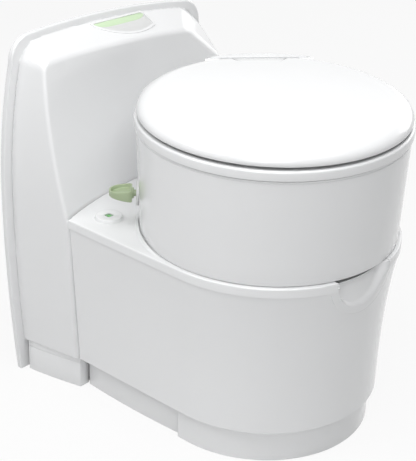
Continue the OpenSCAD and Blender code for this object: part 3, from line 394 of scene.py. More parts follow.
hingeSizes = {"endY": 0.080, "pocketWidth": 0.0048, "pocketBack": 0.004, "pocketReach": 0.05,
              "webBack": 0.0055, "slabEdge": 0.002, "blockEdge": 0.006, "soft": 0.0012}


def makeHingeBlock():
    s, h = lidSizes, hingeSizes
    endY, d = h["endY"], s["axisDepth"]
    base = rearSlab("hingeBlock", seatSizes["radius"] - 0.001, 0.0005, rimZ, seatTop, h["slabEdge"])
    axisX = bowlX - s["axisX"]
    for side in (-1, 1):
        y0 = min(side * endY, side * (endY + h["pocketWidth"]))
        low = (axisX - h["pocketBack"], y0, cutLow)
        cutWith(base, boxPiece("pocket", low, (axisX + h["pocketReach"], y0 + h["pocketWidth"], cutHigh)))
    block = rearSlab("block", s["radius"], d + 0.001, seatTop - 0.001, lidTop, h["blockEdge"])
    for low, high in ((-cutSide, -endY), (endY, cutSide)):
        cutWith(block, boxPiece("end", (bowlX - cutSide, low, cutLow), (bowlX, high, cutHigh)))
    soften(block, h["soft"], 3, 50)
    knuckles = []
    for y0, y1 in ((s["knuckleY"], endY), (-endY, -s["knuckleY"])):
        knuckles.append(pinBarrel("knuckle", d, y0, y1))
        knuckles.append(boxPiece("web", (axisX - h["webBack"], y0, axisZ - d), (axisX, y1, axisZ + d)))
    joinInto(base, [block] + knuckles)
    turnAboutBowl(base, bowlTurn)
    finish(base, "bowl", whiteCover, ["hinge_block"], 35)


# bowl
bowlSizes = {"footRadius": 0.194, "topRadius": 0.200, "footZ": 0.311, "rim": 0.003, "wall": 0.003,
             "floor": 0.173, "lip": 0.145, "lipWall": 0.004}


def makeBowlWall():
    s = bowlSizes
    foot, high, wall, under = s["footRadius"], s["topRadius"], s["wall"], s["lipWall"]
    z0, z1 = s["footZ"], rimZ - s["rim"]
    outline = [(s["floor"], z0), (foot - 0.0012, z0), (foot - 0.0003, z0 + 0.0004), (foot, z0 + 0.0014)]
    outline += [(foot + (high - foot) * i / 8, z0 + (z1 - z0) * i / 8) for i in range(1, 9)]
    outline += [(s["lip"], z1), (s["lip"], z1 - under), (high - under, z1 - under), (foot - wall, z0 + wall),
                (s["floor"], z0 + wall), (s["floor"], z0)]
    bowl = turned("bowlWall", outline, (bowlX, 0), 192)
    finish(bowl, "bowl", whiteCover, ["bowl_shell"], 30)


# bench and base
bodySizes = {"rear": -0.155, "footRadius": 0.182, "bandRadius": 0.200, "step": 0.0014, "plinthTop": 0.055,
             "bandZ": 0.296, "top": 0.310, "flare": 2.6, "wall": 0.004, "round": 0.0022, "ledge": 0.0085,
             "plate": 0.003, "bowlHole": 0.184, "flagHole": 0.017, "foot": 0.020,
             "edge": 0.0028}
scoopSizes = {"turn": math.radians(-5.5), "centreZ": 0.311, "outer": 0.066, "inner": 0.0545,
              "corner": 0.010, "depth": 0.0145, "nearWall": 0.003, "farWall": 0.022, "slotLow": 0.3012,
              "slotRise": 0.0018, "slotHigh": 0.3097, "slotEnd": (0.032, 0.044), "lip": 0.1905,
              "skin": 0.0022, "soft": 0.0004, "columns": 144, "floorRows": 22, "ringRows": 5}
benchHollow = {"centreX": 0.426, "radius": 0.6137}


# points along the console's hollow front, where it meets the bench
def hollowPlan(places):
    h = benchHollow
    return [(h["centreX"] - math.sqrt(h["radius"] ** 2 - y * y), y) for y in places]


def bodyRadius(z):
    s = bodySizes
    u = max(0.0, (z - s["plinthTop"]) / (s["bandZ"] - s["plinthTop"]))
    return s["footRadius"] + (s["bandRadius"] - s["step"] - s["footRadius"]) * u ** s["flare"]


# at the console the sides are drafted straight
def sideAtRear(z):
    s = bodySizes
    share = (z - s["plinthTop"]) / (s["bandZ"] - s["plinthTop"])
    return s["footRadius"] + (s["bandRadius"] - s["step"] - s["footRadius"]) * share


# draws a half outline along the bench's plan: straight side, round front, straight side
def alongBench(name, outline, steps=160):
    s = bodySizes
    obj = startPoint(name, (s["rear"], -outline[0][0], outline[0][1]))
    drawLine([(s["rear"], -r, z) for r, z in outline], closed=True)
    bpy.ops.mesh.edge_face_add()
    run = bowlX - s["rear"]
    for _ in range(6):
        extrudeBy((run / 6, 0, 0))
    bpy.ops.mesh.spin(steps=steps, angle=-math.pi, center=(bowlX, 0, 0), axis=(0, 0, 1))
    for _ in range(6):
        extrudeBy((-run / 6, 0, 0))
    bpy.ops.object.mode_set(mode="OBJECT")
    cleanUp(obj)
    return obj


# a cylinder lying along the scoop's own direction, to cut with
def scoopCutter(name, radius):
    c = scoopSizes
    cutter = rodPiece(name, radius, 0.2, (bowlX + 0.23, 0, c["centreZ"]), 160)
    applyPlace(cutter)
    turnAboutBowl(cutter, c["turn"])
    return cutter


def makeBase():
    s = bodySizes
    low = s["plinthTop"] + 0.0012
    rows = [low + (s["bandZ"] - low) * i / 20 for i in range(21)]
    inner = s["footRadius"] - s["foot"]
    outline = [(inner, s["plinthTop"]), (s["footRadius"] - 0.0012, s["plinthTop"])]
    outline += [(bodyRadius(z), z) for z in rows]
    outline += [(bodyRadius(z) - s["wall"], z) for z in reversed(rows[1:])]
    outline += [(inner, s["plinthTop"] + s["wall"]), (inner, s["plinthTop"])]
    base = alongBench("baseBody", outline)
    # the sides lose their flare towards the console, where they are drafted straight
    run = bowlX - s["rear"]
    for v in base.data.vertices:
        if v.co.x < bowlX and abs(v.co.y) > inner + 0.001:
            spread = sideAtRear(v.co.z) - bodyRadius(v.co.z)
            v.co.y += math.copysign(spread * min(1, (bowlX - v.co.x) / run), v.co.y)
    # rounded upright edges beside the console
    activate(base)
    bpy.ops.object.mode_set(mode="EDIT")
    bpy.ops.mesh.select_all(action="DESELECT")
    bpy.ops.object.mode_set(mode="OBJECT")
    for edge in base.data.edges:
        ends = [base.data.vertices[i].co for i in edge.vertices]
        outer = all(abs(abs(e.y) - sideAtRear(e.z)) < 0.0004 and e.z > low - 0.0005 for e in ends)
        edge.select = outer and all(e.x < s["rear"] + 1e-5 for e in ends)
    bpy.ops.object.mode_set(mode="EDIT")
    bpy.ops.mesh.select_mode(type="EDGE")
    bpy.ops.mesh.bevel(offset=s["edge"], segments=4)
    bpy.ops.mesh.select_mode(type="VERT")
    bpy.ops.object.mode_set(mode="OBJECT")
    cutWith(base, scoopCutter("scoopCut", scoopSizes["outer"] - 0.004))
    cleanUp(base, 1e-6)
    finish(base, "frame", whiteCover, ["base_body"], 30)


def smoothStep(a, b, x):
    t = min(1.0, max(0.0, (x - a) / (b - a)))
    return t * t * (3 - 2 * t)


# the bench moulding's skin: the band, and below it the scoop's ring that stands proud of the base
def skinRadius(z):
    s = bodySizes
    return s["bandRadius"] if z > s["bandZ"] else bodyRadius(z) + s["step"]


# how far from its centre the scoop's outline lies, which runs into the band through a fillet
def scoopReach(angle):
    c = scoopSizes
    reach, k = c["outer"], c["corner"]
    drop = c["centreZ"] - bodySizes["bandZ"] + k
    join = math.asin(drop / (reach + k))
    turn = min(abs(angle), math.pi - abs(angle))
    if turn >= join:
        return reach
    off = min(join - turn, math.asin(k / (reach + k)) * 0.985)
    return (reach + k) * math.cos(off) - math.sqrt(k * k - ((reach + k) * math.sin(off)) ** 2)


# how deep the scoop's floor lies: deepest at its top, running out at its foot
def scoopDepth(t, z):
    c = scoopSizes
    rho = math.hypot(t, c["centreZ"] - z)
    rise = min(1.0, max(0.0, (z - c["centreZ"] + c["inner"]) / (c["inner"] - 0.006)))
    wall = c["nearWall"] + (c["farWall"] - c["nearWall"]) * smoothStep(-c["inner"], c["inner"], t)
    return c["depth"] * rise ** 0.85 * smoothStep(c["inner"], c["inner"] - wall, rho)


# the slot's lower edge: nearly level below the bowl, and up to the bench where the far wall comes out
def slotEdge(t):
    c = scoopSizes
    level = c["slotLow"] + c["slotRise"] * (t / c["inner"] + 1) / 2
    return level + (c["slotHigh"] - level) * smoothStep(*c["slotEnd"], t)


# the finger scoop: a skin from the slot below the bowl, over the dished floor, to the ring's outline
def makeScoop():
    s, c = bodySizes, scoopSizes
    columns, floorRows, ringRows = c["columns"], c["floorRows"], c["ringRows"]
    rows = floorRows + ringRows
    deselectAll()
    bpy.ops.mesh.primitive_grid_add(x_subdivisions=columns, y_subdivisions=rows, size=1)
    scoop = newPiece("fingerScoop")
    ledge = s["top"] - 0.0002
    for v in scoop.data.vertices:
        column = round((v.co.x + 0.5) * columns)
        row = round((v.co.y + 0.5) * rows)
        angle = -math.pi * (1 - column / columns)
        span = c["inner"] - 0.0008
        slot = (span * math.cos(angle), slotEdge(span * math.cos(angle)))
        inner = (c["inner"] * math.cos(angle), min(ledge, c["centreZ"] + c["inner"] * math.sin(angle)))
        reach = scoopReach(angle)
        outer = (reach * math.cos(angle), min(ledge, c["centreZ"] + reach * math.sin(angle)))
        if row <= floorRows:
            share = 1 - (1 - max(0, row - 1) / (floorRows - 1)) ** 1.8
            t, z = [a + (b - a) * share for a, b in zip(slot, inner)]
        else:
            share = (row - floorRows) / ringRows
            t, z = [a + (b - a) * share for a, b in zip(inner, outer)]
        # within the band's height the ring lies just under the band's own skin
        radius = skinRadius(z) - scoopDepth(t, z) - 0.0002 * smoothStep(s["bandZ"], s["bandZ"] + 0.001, z)
        if row == 0:
            # a lip under the bowl's edge, where the wall has come out past it
            radius -= max(0, radius - c["lip"]) * smoothStep(*c["slotEnd"], t)
        v.co = (bowlX + math.sqrt(radius * radius - t * t), t, z)
    cleanUp(scoop, 1e-7)
    # the skin's outer side faces away from the bowl
    if sum(p.normal.x for p in scoop.data.polygons) < 0:
        editAll(scoop)
        bpy.ops.mesh.flip_normals()
        bpy.ops.object.mode_set(mode="OBJECT")
    addModifier(scoop, "SOLIDIFY", thickness=c["skin"], offset=-1)
    soften(scoop, c["soft"], 2, 60)
    turnAboutBowl(scoop, c["turn"])
    return scoop


def makeBench():
    s, c = bodySizes, scoopSizes
    r, top, fillet = s["bandRadius"], s["top"], s["round"]
    edge, under, inside = r - s["ledge"], top - s["plate"], r - s["wall"]
    outline = [(r, s["bandZ"])] + arc(r - fillet, top - fillet, fillet, 0, 90, 6)
    outline += [(edge, top), (edge, under), (inside, under), (inside, s["bandZ"]), (r, s["bandZ"])]
    bench = alongBench("benchTop", outline)
    # flat top, reaching back to the console's hollow front
    plan = hollowPlan([edge * (1 - i / 12) for i in range(25)])
    plate = startPoint("plate", (bowlX, -edge, top))
    drawLine([(x, y, top) for x, y in [(bowlX, -edge)] + arc(bowlX, 0, edge, -90, 90, 90)[1:] + plan])
    bpy.ops.mesh.edge_face_add()
    extrudeBy((0, 0, -s["plate"]))
    bpy.ops.object.mode_set(mode="OBJECT")
    cleanUp(plate, 1e-6)
    for name, centre, steps in (("bowlHole", (bowlX, 0), 160), ("flagHole", (discX, discY), 48)):
        cutWith(plate, turned(name, [(0, 0.2), (s[name], 0.2), (s[name], 0.4), (0, 0.4)], centre, steps))
    for piece in (bench, plate):
        cutWith(piece, scoopCutter("recessCut", c["inner"]))
        cleanUp(piece, 1e-6)
    joinInto(bench, [plate, makeScoop()])
    collarRing()
    finish(bench, "frame", whiteCover, ["bench_top"], 35)


# the soft raised collar round the bowl's foot, which dies away towards the front
collarSizes = {"inner": 0.1890, "outer": 0.2014, "base": 0.001, "sunk": 0.0004, "fade": (92, 125),
               "front": 0.004,
               "section": [(0.1952, 0.0030), (0.1957, 0.0036), (0.1964, 0.0036), (0.1974, 0.0030),
                           (0.1986, 0.0014), (0.2000, 0.0004)]}


def collarRing():
    s, k = bodySizes, collarSizes
    top, under, sunk = s["top"], s["top"] - k["base"], k["sunk"]
    section = [(r, top + z) for r, z in k["section"]]
    outline = [(k["inner"], under), (section[0][0], under)] + section
    outline += [(k["outer"], top), (k["outer"], under), (k["inner"], under)]
    ring = turned("collar", outline, (bowlX, 0), 240)
    most = s["bandRadius"] - s["round"]
    for v in ring.data.vertices:
        if v.co.z > top - 0.0005:
            turn = abs(math.degrees(math.atan2(v.co.y, v.co.x - bowlX)))
            v.co.z = top - sunk + (v.co.z - top + sunk) * smoothStep(*k["fade"], turn)
        # kept within the bench's soft edge
        v.co.y = max(-most, min(most, v.co.y))
    editAll(ring)
    bpy.ops.mesh.bisect(plane_co=(bowlX - k["front"], 0, 0), plane_no=(1, 0, 0), clear_outer=True,
                        use_fill=True)
    bpy.ops.object.mode_set(mode="OBJECT")
    cleanUp(ring, 1e-6)
    finish(ring, "frame", whiteCover, angle=35)


plinthSizes = {"gap": 0.0005, "wall": 0.004, "soft": 0.0006}


def makePlinths():
    s = plinthSizes
    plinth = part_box("front_plinth")
    r = plinth[1].x - bowlX
    low, top = s["gap"], plinth[1].z - s["gap"]
    seamX = plinth[0].x
    front = startPoint("frontPlinth", (seamX, -r, low))
    outline = [(r, low), (r, top), (r - s["wall"], top), (r - s["wall"], low), (r, low)]
    drawLine([(seamX, -a, b) for a, b in outline], closed=True)
    bpy.ops.mesh.edge_face_add()
    extrudeBy((bowlX - seamX, 0, 0))
    bpy.ops.mesh.spin(steps=120, angle=-math.pi, center=(bowlX, 0, 0), axis=(0, 0, 1))
    extrudeBy((seamX - bowlX, 0, 0))
    bpy.ops.object.mode_set(mode="OBJECT")
    cleanUp(front)
    finish(front, "frame", whiteCover, ["front_plinth"], 35)
    for node in ("bench_plinth", "console_plinth"):
        softCopy(node, s["soft"])


# a copy of a CAD node with its doubles merged and its edges softened
def softCopy(node, width):
    deselectAll()
    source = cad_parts[node]
    name = "".join(w.title() if i else w for i, w in enumerate(node.split("_")))
    copy = bpy.data.objects.new(name, source.data.copy())
    bpy.context.scene.collection.objects.link(copy)
    cleanUp(copy)
    editAll(copy)
    bpy.ops.mesh.dissolve_limited(angle_limit=math.radians(0.5))
    bpy.ops.object.mode_set(mode="OBJECT")
    soften(copy, width, 2, 35)
    finish(copy, "frame", whiteCover, [node], angle=35)


# wall flange and console
shieldSizes = {"wide": 0.460, "wideZ": 0.330, "foot": 0.422, "shoulder": 0.424, "shoulderZ": 0.506,
               "top": 0.558, "crown": 0.010, "fall": 0.031, "nearRadius": 0.038, "farRadius": 0.042}
consoleSizes = {"inset": 0.014, "drop": 0.010, "draw": 0.017, "pitch": 0.45, "depth": 0.113, "foot": -0.155,
                "topFront": -0.215, "trim": 0.008, "bottom": 0.055, "cutY": 0.122, "cutTurn": 35.8,
                "cutLean": 50.7, "softness": 0.005, "corner": 0.009, "cornerRun": 0.050, "bow": 0.010,
                "bowAt": 0.190, "roomHalf": 0.158, "roomTop": 0.262, "grain": 0.0024, "quickGrain": 0.0036}


def bowRadius(rise, side):
    return (rise * rise + side * side) / (2 * side)


def halfWidth(z):
    s = shieldSizes
    below = bowRadius(s["wideZ"], (s["wide"] - s["foot"]) / 2)
    above = bowRadius(s["shoulderZ"] - s["wideZ"], (s["wide"] - s["shoulder"]) / 2)
    r = below if z < s["wideZ"] else above
    return s["wide"] / 2 - r + math.sqrt(r * r - (z - s["wideZ"]) ** 2)


def topEdge(y):
    s = shieldSizes
    half = s["shoulder"] / 2 - s["nearRadius"]
    return s["top"] + s["crown"] * (1 - (y / half) ** 2) - s["fall"] / s["shoulder"] * y


# the outline of the flange, drawn in at its sides and its top
def shield(inset, drop, foot, nearRadius, farRadius):
    s = shieldSizes
    half = s["shoulder"] / 2 - s["nearRadius"]
    nearZ = topEdge(-half) - drop - nearRadius
    farZ = topEdge(half) - drop - farRadius
    nearY = -(halfWidth(nearZ) - inset - nearRadius)
    farY = halfWidth(farZ) - inset - farRadius
    heights = [foot + (nearZ - foot) * i / 20 for i in range(21)]
    points = [(-(halfWidth(z) - inset), z) for z in heights]
    points += arc(nearY, nearZ, nearRadius, 180, 90, 14)[1:]
    across = [nearY + (farY - nearY) * i / 20 for i in range(1, 20)]
    points += [(y, topEdge(y) - drop) for y in across]
    points += arc(farY, farZ, farRadius, 90, 0, 14)
    points += [(halfWidth(z) - inset, z) for z in [farZ + (foot - farZ) * i / 20 for i in range(1, 21)]]
    return points


# a slab between two outlines of the same number of points, the second one further forward
def slabBetween(name, back, backX, front, frontX):
    obj = startPoint(name, (backX, back[0][0], back[0][1]))
    drawLine([(backX, y, z) for y, z in back])
    bpy.ops.mesh.edge_face_add()
    extrudeBy((frontX - backX, 0, 0))
    bpy.ops.object.mode_set(mode="OBJECT")
    for v in obj.data.vertices:
        if abs(v.co.x - frontX) < 1e-5:
            gaps = [abs(y - v.co.y) + abs(z - v.co.z) for y, z in back]
            v.co.y, v.co.z = front[gaps.index(min(gaps))]
    cleanUp(obj, 1e-6)
    return obj


flangeSizes = {"doorHalf": 0.156, "doorTop": 0.232, "screwY": 0.175, "screwZ": (0.150, 0.480),
               "screw": 0.0026, "inlet": 0.010, "inletY": -0.110, "inletZ": 0.400, "soft": 0.0025}


def makeFlange():
    s, f = shieldSizes, flangeSizes
    outline = shield(0, 0, 0.0, s["nearRadius"], s["farRadius"])
    flange = slabBetween("wallFlange", outline, wallX, outline, flangeX)
    low = (wallX - 0.1, -f["doorHalf"], -0.1)
    cutWith(flange, boxPiece("door", low, (flangeX + 0.1, f["doorHalf"], f["doorTop"])))
    for y in (-f["screwY"], f["screwY"]):
        for z in f["screwZ"]:
            cutWith(flange, rodPiece("screwHole", f["screw"], 0.1, (wallX, y, z), 24))
    cutWith(flange, rodPiece("inlet", f["inlet"], 0.1, (wallX, f["inletY"], f["inletZ"]), 32))
    cleanUp(flange, 1e-6)
    soften(flange, f["soft"], 4, 60, clamp=False)
    finish(flange, "frame", whiteCover, ["wall_flange"], 35)


# how far inside several walls a point lies, where they meet in a rounding of radius r
def roundedInside(r, *depths):
    return r - np.sqrt(sum(np.maximum(r - d, 0) ** 2 for d in depths))


# how far inside the console's skin each point lies
def consoleDepth(p):
    s, c, h = shieldSizes, consoleSizes, benchHollow
    x, y, z = p[:, 0], p[:, 1], p[:, 2]
    bows = [bowRadius(s["wideZ"], (s["wide"] - s["foot"]) / 2),
            bowRadius(s["shoulderZ"] - s["wideZ"], (s["wide"] - s["shoulder"]) / 2)]
    bow = np.where(z < s["wideZ"], bows[0], bows[1])
    half = s["wide"] / 2 - bow + np.sqrt(bow ** 2 - (z - s["wideZ"]) ** 2)
    ahead = x - flangeX
    # the factors here and at the front make up for the slope of those faces
    side = (half - c["inset"] - c["draw"] * ahead / c["depth"] - np.abs(y)) * 0.985
    crownHalf = s["shoulder"] / 2 - s["nearRadius"]
    fall = s["fall"] / s["shoulder"]
    edge = s["top"] + s["crown"] * (1 - (y / crownHalf) ** 2) - fall * y
    top = (edge - c["drop"] - c["pitch"] * ahead - z) / math.hypot(1, c["pitch"])
    corner = np.where(y < 0, s["nearRadius"], s["farRadius"]) - c["trim"]
    # the corner between side and top tightens towards the front
    corner = c["corner"] + (corner - c["corner"]) * np.clip(1 - ahead / c["cornerRun"], 0, 1)
    body = roundedInside(corner, side, top)
    low = h["centreX"] - np.sqrt(h["radius"] ** 2 - y ** 2)
    bandZ, topZ = bodySizes["bandZ"], topEdge(0)
    share = (z - bandZ) / (topZ - bandZ)
    # the top's front edge bows back towards the sides
    high = c["topFront"] - c["bow"] * (y / c["bowAt"]) ** 2
    front = (low + (high - low) * share - x) * 0.98
    front = np.where(z < bodySizes["top"] - 0.006, c["foot"] - x, front)
    turn, lean = math.radians(c["cutTurn"]), math.radians(c["cutLean"])
    normal = (math.sin(lean) * math.cos(turn), math.sin(lean) * math.sin(turn), math.cos(lean))
    cutZ = topZ - c["drop"] - c["pitch"] * (c["topFront"] - flangeX) - fall * c["cutY"]
    cut = (c["topFront"] - x) * normal[0] + (c["cutY"] - y) * normal[1] + (cutZ - z) * normal[2]
    return roundedInside(c["softness"], body, front, cut)


# moves every vertex straight onto the surface where depth is zero
def settleOn(obj, depth, rounds=5):
    points = np.empty(len(obj.data.vertices) * 3)
    obj.data.vertices.foreach_get("co", points)
    points = points.reshape(-1, 3)
    fixed = (points[:, 0] < flangeX + 0.0005) | (points[:, 2] < consoleSizes["bottom"] + 0.0005)
    start = points.copy()
    reach = 2e-4
    for _ in range(rounds):
        d = depth(points)
        rises = [depth(points + step) - depth(points - step) for step in np.eye(3) * reach]
        slope = np.stack([rise / (2 * reach) for rise in rises], axis=1)
        points -= slope * (d / np.maximum((slope ** 2).sum(axis=1), 0.2))[:, None]
    points[fixed] = start[fixed]
    obj.data.vertices.foreach_set("co", points.ravel())
    obj.data.update()


def makeConsole():
    s, c = shieldSizes, consoleSizes
    near, far = s["nearRadius"] - c["trim"], s["farRadius"] - c["trim"]
    back = shield(c["inset"], c["drop"], c["bottom"], near, far)
    frontDrop = c["drop"] + c["pitch"] * c["depth"]
    front = shield(c["inset"] + c["draw"], frontDrop, c["bottom"], c["corner"], c["corner"])
    console = slabBetween("console", back, flangeX, front, flangeX + c["depth"])
    # the hollowed front: round in plan at the bench, flat at the top
    bandZ, topZ = bodySizes["bandZ"], topEdge(0)
    reach = 0.26
    plan = hollowPlan([-reach + reach * i / 20 for i in range(41)]) + [(0.2, reach), (0.2, -reach)]
    hollow = startPoint("hollow", (plan[0][0], plan[0][1], bandZ))
    drawLine([(x, y, bandZ) for x, y in plan])
    bpy.ops.mesh.edge_face_add()
    extrudeBy((0, 0, topZ - bandZ))
    bpy.ops.object.mode_set(mode="OBJECT")
    for v in hollow.data.vertices:
        if v.co.z > topZ - 1e-5 and v.co.x < 0.1:
            v.co.x = c["topFront"]
    cleanUp(hollow, 1e-7)
    cutWith(console, hollow)
    cutWith(console, boxPiece("foot", (c["foot"], -0.3, 0.0), (0.3, 0.3, 0.4)))
    addModifier(console, "REMESH", mode="VOXEL", voxel_size=c["grain"])
    settleOn(console, consoleDepth)
    # room for the waste tank behind the flange's doorway
    low = (flangeX - 0.01, -c["roomHalf"], 0.0)
    cutWith(console, boxPiece("tankRoom", low, (0.0, c["roomHalf"], c["roomTop"])))
    finish(console, "frame", whiteCover, ["console_housing"], 50)


# flush control
controlSizes = {"x": 0.0173, "y": 0.0114, "circleX": -0.0715, "circleY": 0.0155, "circle": 0.0955,
                "back": -0.0117, "nearEnd": -0.0585, "farEnd": 0.0548, "split": 0.0015, "bend": 0.0062,
                "bendAt": 0.052, "rim": 0.0045, "rimHeight": 0.001, "corner": 0.007, "farRound": 0.006,
                "rimSoft": 0.0006, "rimGap": 0.0003, "gap": 0.0001, "depth": 0.0016, "soft": 0.0004}


# the sloping top face's own frame, with its z square to the face
def onTopFace(obj):
    s, c, k = shieldSizes, consoleSizes, controlSizes
    fall = s["fall"] / s["shoulder"]
    height = topEdge(k["y"]) - c["drop"] - c["pitch"] * k["x"]
    slope = math.atan(c["pitch"])
    place = (Matrix.Translation((flangeX + k["x"], k["y"], height)) @ Matrix.Rotation(slope, 4, "Y")
             @ Matrix.Rotation(-math.atan(fall * math.cos(slope)), 4, "X"))
    obj.matrix_world = place @ obj.matrix_world
    applyPlace(obj)


# the leaf's outline, grown by grow: a straight back, a curved front, rounded ends
def leafOutline(grow):
    k = controlSizes
    r = k["circle"] + grow
    back, near, far = k["back"] - grow, k["nearEnd"] - grow, k["farEnd"] + grow
    nearAngle = math.degrees(math.asin((near + 0.0035 - k["circleY"]) / r))
    farAngle = math.degrees(math.asin((far - 0.004 - k["circleY"]) / r))
    curve = arc(k["circleX"], k["circleY"], r, nearAngle, farAngle, 24)
    end, corner = k["farRound"], k["corner"]
    rounded = arc(curve[-1][0] - end, far - end, end, 40, 90, 5)
    rounded += arc(back + corner, far - corner, corner, 90, 180, 6)
    tip = [(back, near + 0.008), (back + 0.0006, near + 0.003), (back + 0.0025, near + 0.0008)]
    return curve + rounded + tip


def leafPiece(name, outline, z0, z1, softness):
    obj = startPoint(name, (outline[0][0], outline[0][1], z0))
    drawLine([(x, y, z0) for x, y in outline])
    bpy.ops.mesh.remove_doubles(threshold=0.0002)
    bpy.ops.mesh.edge_face_add()
    extrudeBy((0, 0, z1 - z0))
    bpy.ops.object.mode_set(mode="OBJECT")
    cleanUp(obj, 1e-6)
    if softness:
        soften(obj, softness, 3, 50)
    return obj


def makeControls():
    k = controlSizes
    rim = leafPiece("leafRim", leafOutline(k["rim"]), -0.002, k["rimHeight"], k["rimSoft"])
    cutWith(rim, leafPiece("well", leafOutline(k["rimGap"]), -0.01, 0.01, 0))
    onTopFace(rim)
    finish(rim, "frame", whiteCover)
    for name, keepFront, height, body, material, node, slotName in (
            ("greenPlate", False, 0.0004, "frame", plateGreen, "control_plate", "green_plastic"),
            ("flushButton", True, 0.0006, "button", lightGrey, "flush_button", "light_grey_plastic")):
        leaf = leafPiece(name, leafOutline(0), -k["depth"], height, 0)
        x = k["split"] + (k["gap"] if keepFront else -k["gap"])
        side = -0.1 if keepFront else 0.1
        places = [0.062 - 0.004 * i for i in range(32)]
        border = [(x - k["bend"] * (y / k["bendAt"]) ** 6, y) for y in places]
        cutWith(leaf, leafPiece("cut", border + [(side, border[-1][1]), (side, border[0][1])], -0.1, 0.1, 0))
        soften(leaf, k["soft"], 2, 50)
        onTopFace(leaf)
        finish(leaf, body, material, [node])


# level indicator
indicatorSizes = {"radius": 0.022, "height": 0.005, "window": 0.0115, "soft": 0.0013, "slope": 0.0015,
                  "roomBack": 0.0065, "roomFront": 0.014, "roomHalf": 0.0055, "roomHeight": 0.003}


def makeIndicator():
    s = indicatorSizes
    x, y = discX, discY
    top = bodySizes["top"]
    r, h, soft = s["radius"], s["height"], s["soft"]
    outline = [(0, top + h)] + arc(r - s["slope"] - soft, top + h - soft, soft, 90, 20, 6)
    outline += [(r, top + 0.0001), (r, top - 0.0001), (0, top - 0.0001)]
    bezel = turned("indicatorDisc", outline, (x, y), 96)
    half = s["window"] / 2
    cutWith(bezel, boxPiece("windowHole", (x - half, y - half, 0.2), (x + half, y + half, 0.4)))
    # the room that the flag swings in
    low = (x - s["roomBack"], y - s["roomHalf"], 0.2)
    cutWith(bezel, boxPiece("chamber", low, (x + s["roomFront"], y + s["roomHalf"], top + s["roomHeight"])))
    soften(bezel, 0.0005, 2, 60)
    finish(bezel, "frame", whiteCover, ["indicator_bezel"])


# valve knob
knobSizes = {"turn": math.radians(-137), "z": 0.361, "length": 0.035, "width": 0.033, "stem": 0.005,
             "start": 0.009, "plate": 0.019, "highTop": 0.009, "lowTop": 0.0055, "lowFoot": -0.0095,
             "highFoot": -0.003, "rim": 0.0028, "dish": 0.0055, "dishWall": 0.0009, "soft": 0.0010,
             "stemLength": 0.020, "collar": 0.0085, "collarWidth": 0.004, "bore": 0.0051,
             "plateHeight": 0.003}


# turns and moves a piece from the origin to where the stem leaves the bowl's wall
def onKnobAxis(obj):
    k, s = knobSizes, bowlSizes
    share = (k["z"] - s["footZ"]) / (rimZ - s["rim"] - s["footZ"])
    wall = s["footRadius"] + (s["topRadius"] - s["footRadius"]) * share
    place = (Matrix.Translation((bowlX, 0, 0)) @ Matrix.Rotation(k["turn"], 4, "Z")
             @ Matrix.Translation((wall, 0, k["z"])))
    obj.matrix_world = place @ obj.matrix_world
    applyPlace(obj)


def makeKnob():
    k = knobSizes
    # the grip: a spade-shaped wedge drawn out along the stem, with a dished top
    half, start, tip = k["width"] / 2, k["start"], k["start"] + k["length"]
    side = [(start, half * 0.80), (start + 0.002, half * 0.93), (start + 0.006, half),
            (start + 0.015, half * 0.99), (start + 0.024, half * 0.89), (start + 0.0305, half * 0.68),
            (tip - 0.0010, half * 0.36), (tip, 0)]
    plan = side + [(x, -y) for x, y in reversed(side[:-1])]
    grip = startPoint("knobGrip", (plan[0][0], plan[0][1], 0))
    drawLine([(x, y, 0) for x, y in plan])
    bpy.ops.mesh.remove_doubles(threshold=1e-5)
    bpy.ops.mesh.edge_face_add()
    extrudeBy((0, 0, 1))
    bpy.ops.mesh.inset(thickness=k["rim"], depth=0)
    bpy.ops.mesh.inset(thickness=k["dishWall"], depth=-k["dish"])
    bpy.ops.object.mode_set(mode="OBJECT")
    for v in grip.data.vertices:
        u = (v.co.x - start) / k["length"]
        up = k["highTop"] + (k["lowTop"] - k["highTop"]) * u
        down = k["lowFoot"] + (k["highFoot"] - k["lowFoot"]) * u
        v.co.z = down if v.co.z < 0.5 else up + (v.co.z - 1)
    cleanUp(grip, 1e-6)
    soften(grip, k["soft"], 3, 40, clamp=False)
    stem = rodPiece("knobStem", k["stem"], k["stemLength"], (0.006, 0, 0), 48)
    collar = rodPiece("knobCollar", k["collar"], k["collarWidth"], (0.0085, 0, 0), 48)
    addModifier(collar, "BEVEL", width=0.001, segments=3)
    joinInto(grip, [stem, collar])
    onKnobAxis(grip)
    finish(grip, "knob", knobGreen, ["valve_knob"], angle=60)
    r, bore, high = k["plate"], k["bore"], k["plateHeight"]
    outline = [(bore, 0.0), (bore, high), (r - 0.003, high), (r - 0.0008, 0.0022), (r, 0.0008),
               (r, -0.0006), (bore, 0.0)]
    plate = turned("knobPlate", outline, (0, 0), 96)
    plate.matrix_world = Matrix.Rotation(math.pi / 2, 4, "Y")
    applyPlace(plate)
    onKnobAxis(plate)
    finish(plate, "bowl", lightGrey, ["knob_plate"])


# stage, light and camera
cameraSizes = {"place": (1.2264, -1.4883, 1.2476), "forward": (-0.603, 0.6433, -0.4718),
               "roll": math.radians(0.64), "lens": 120.3, "shiftX": 0.1357, "shiftY": 0.0769}


# one where the camera, a mirror or glass looks, and nothing where light is gathered
def seenByEye(tree):
    path = tree.nodes.new("ShaderNodeLightPath")
    total = path.outputs["Is Camera Ray"]
    for kind in ("Is Glossy Ray", "Is Transmission Ray"):
        both = tree.nodes.new("ShaderNodeMath")
        both.operation = "MAXIMUM"
        tree.links.new(total, both.inputs[0])
        tree.links.new(path.outputs[kind], both.inputs[1])
        total = both.outputs["Value"]
    return total


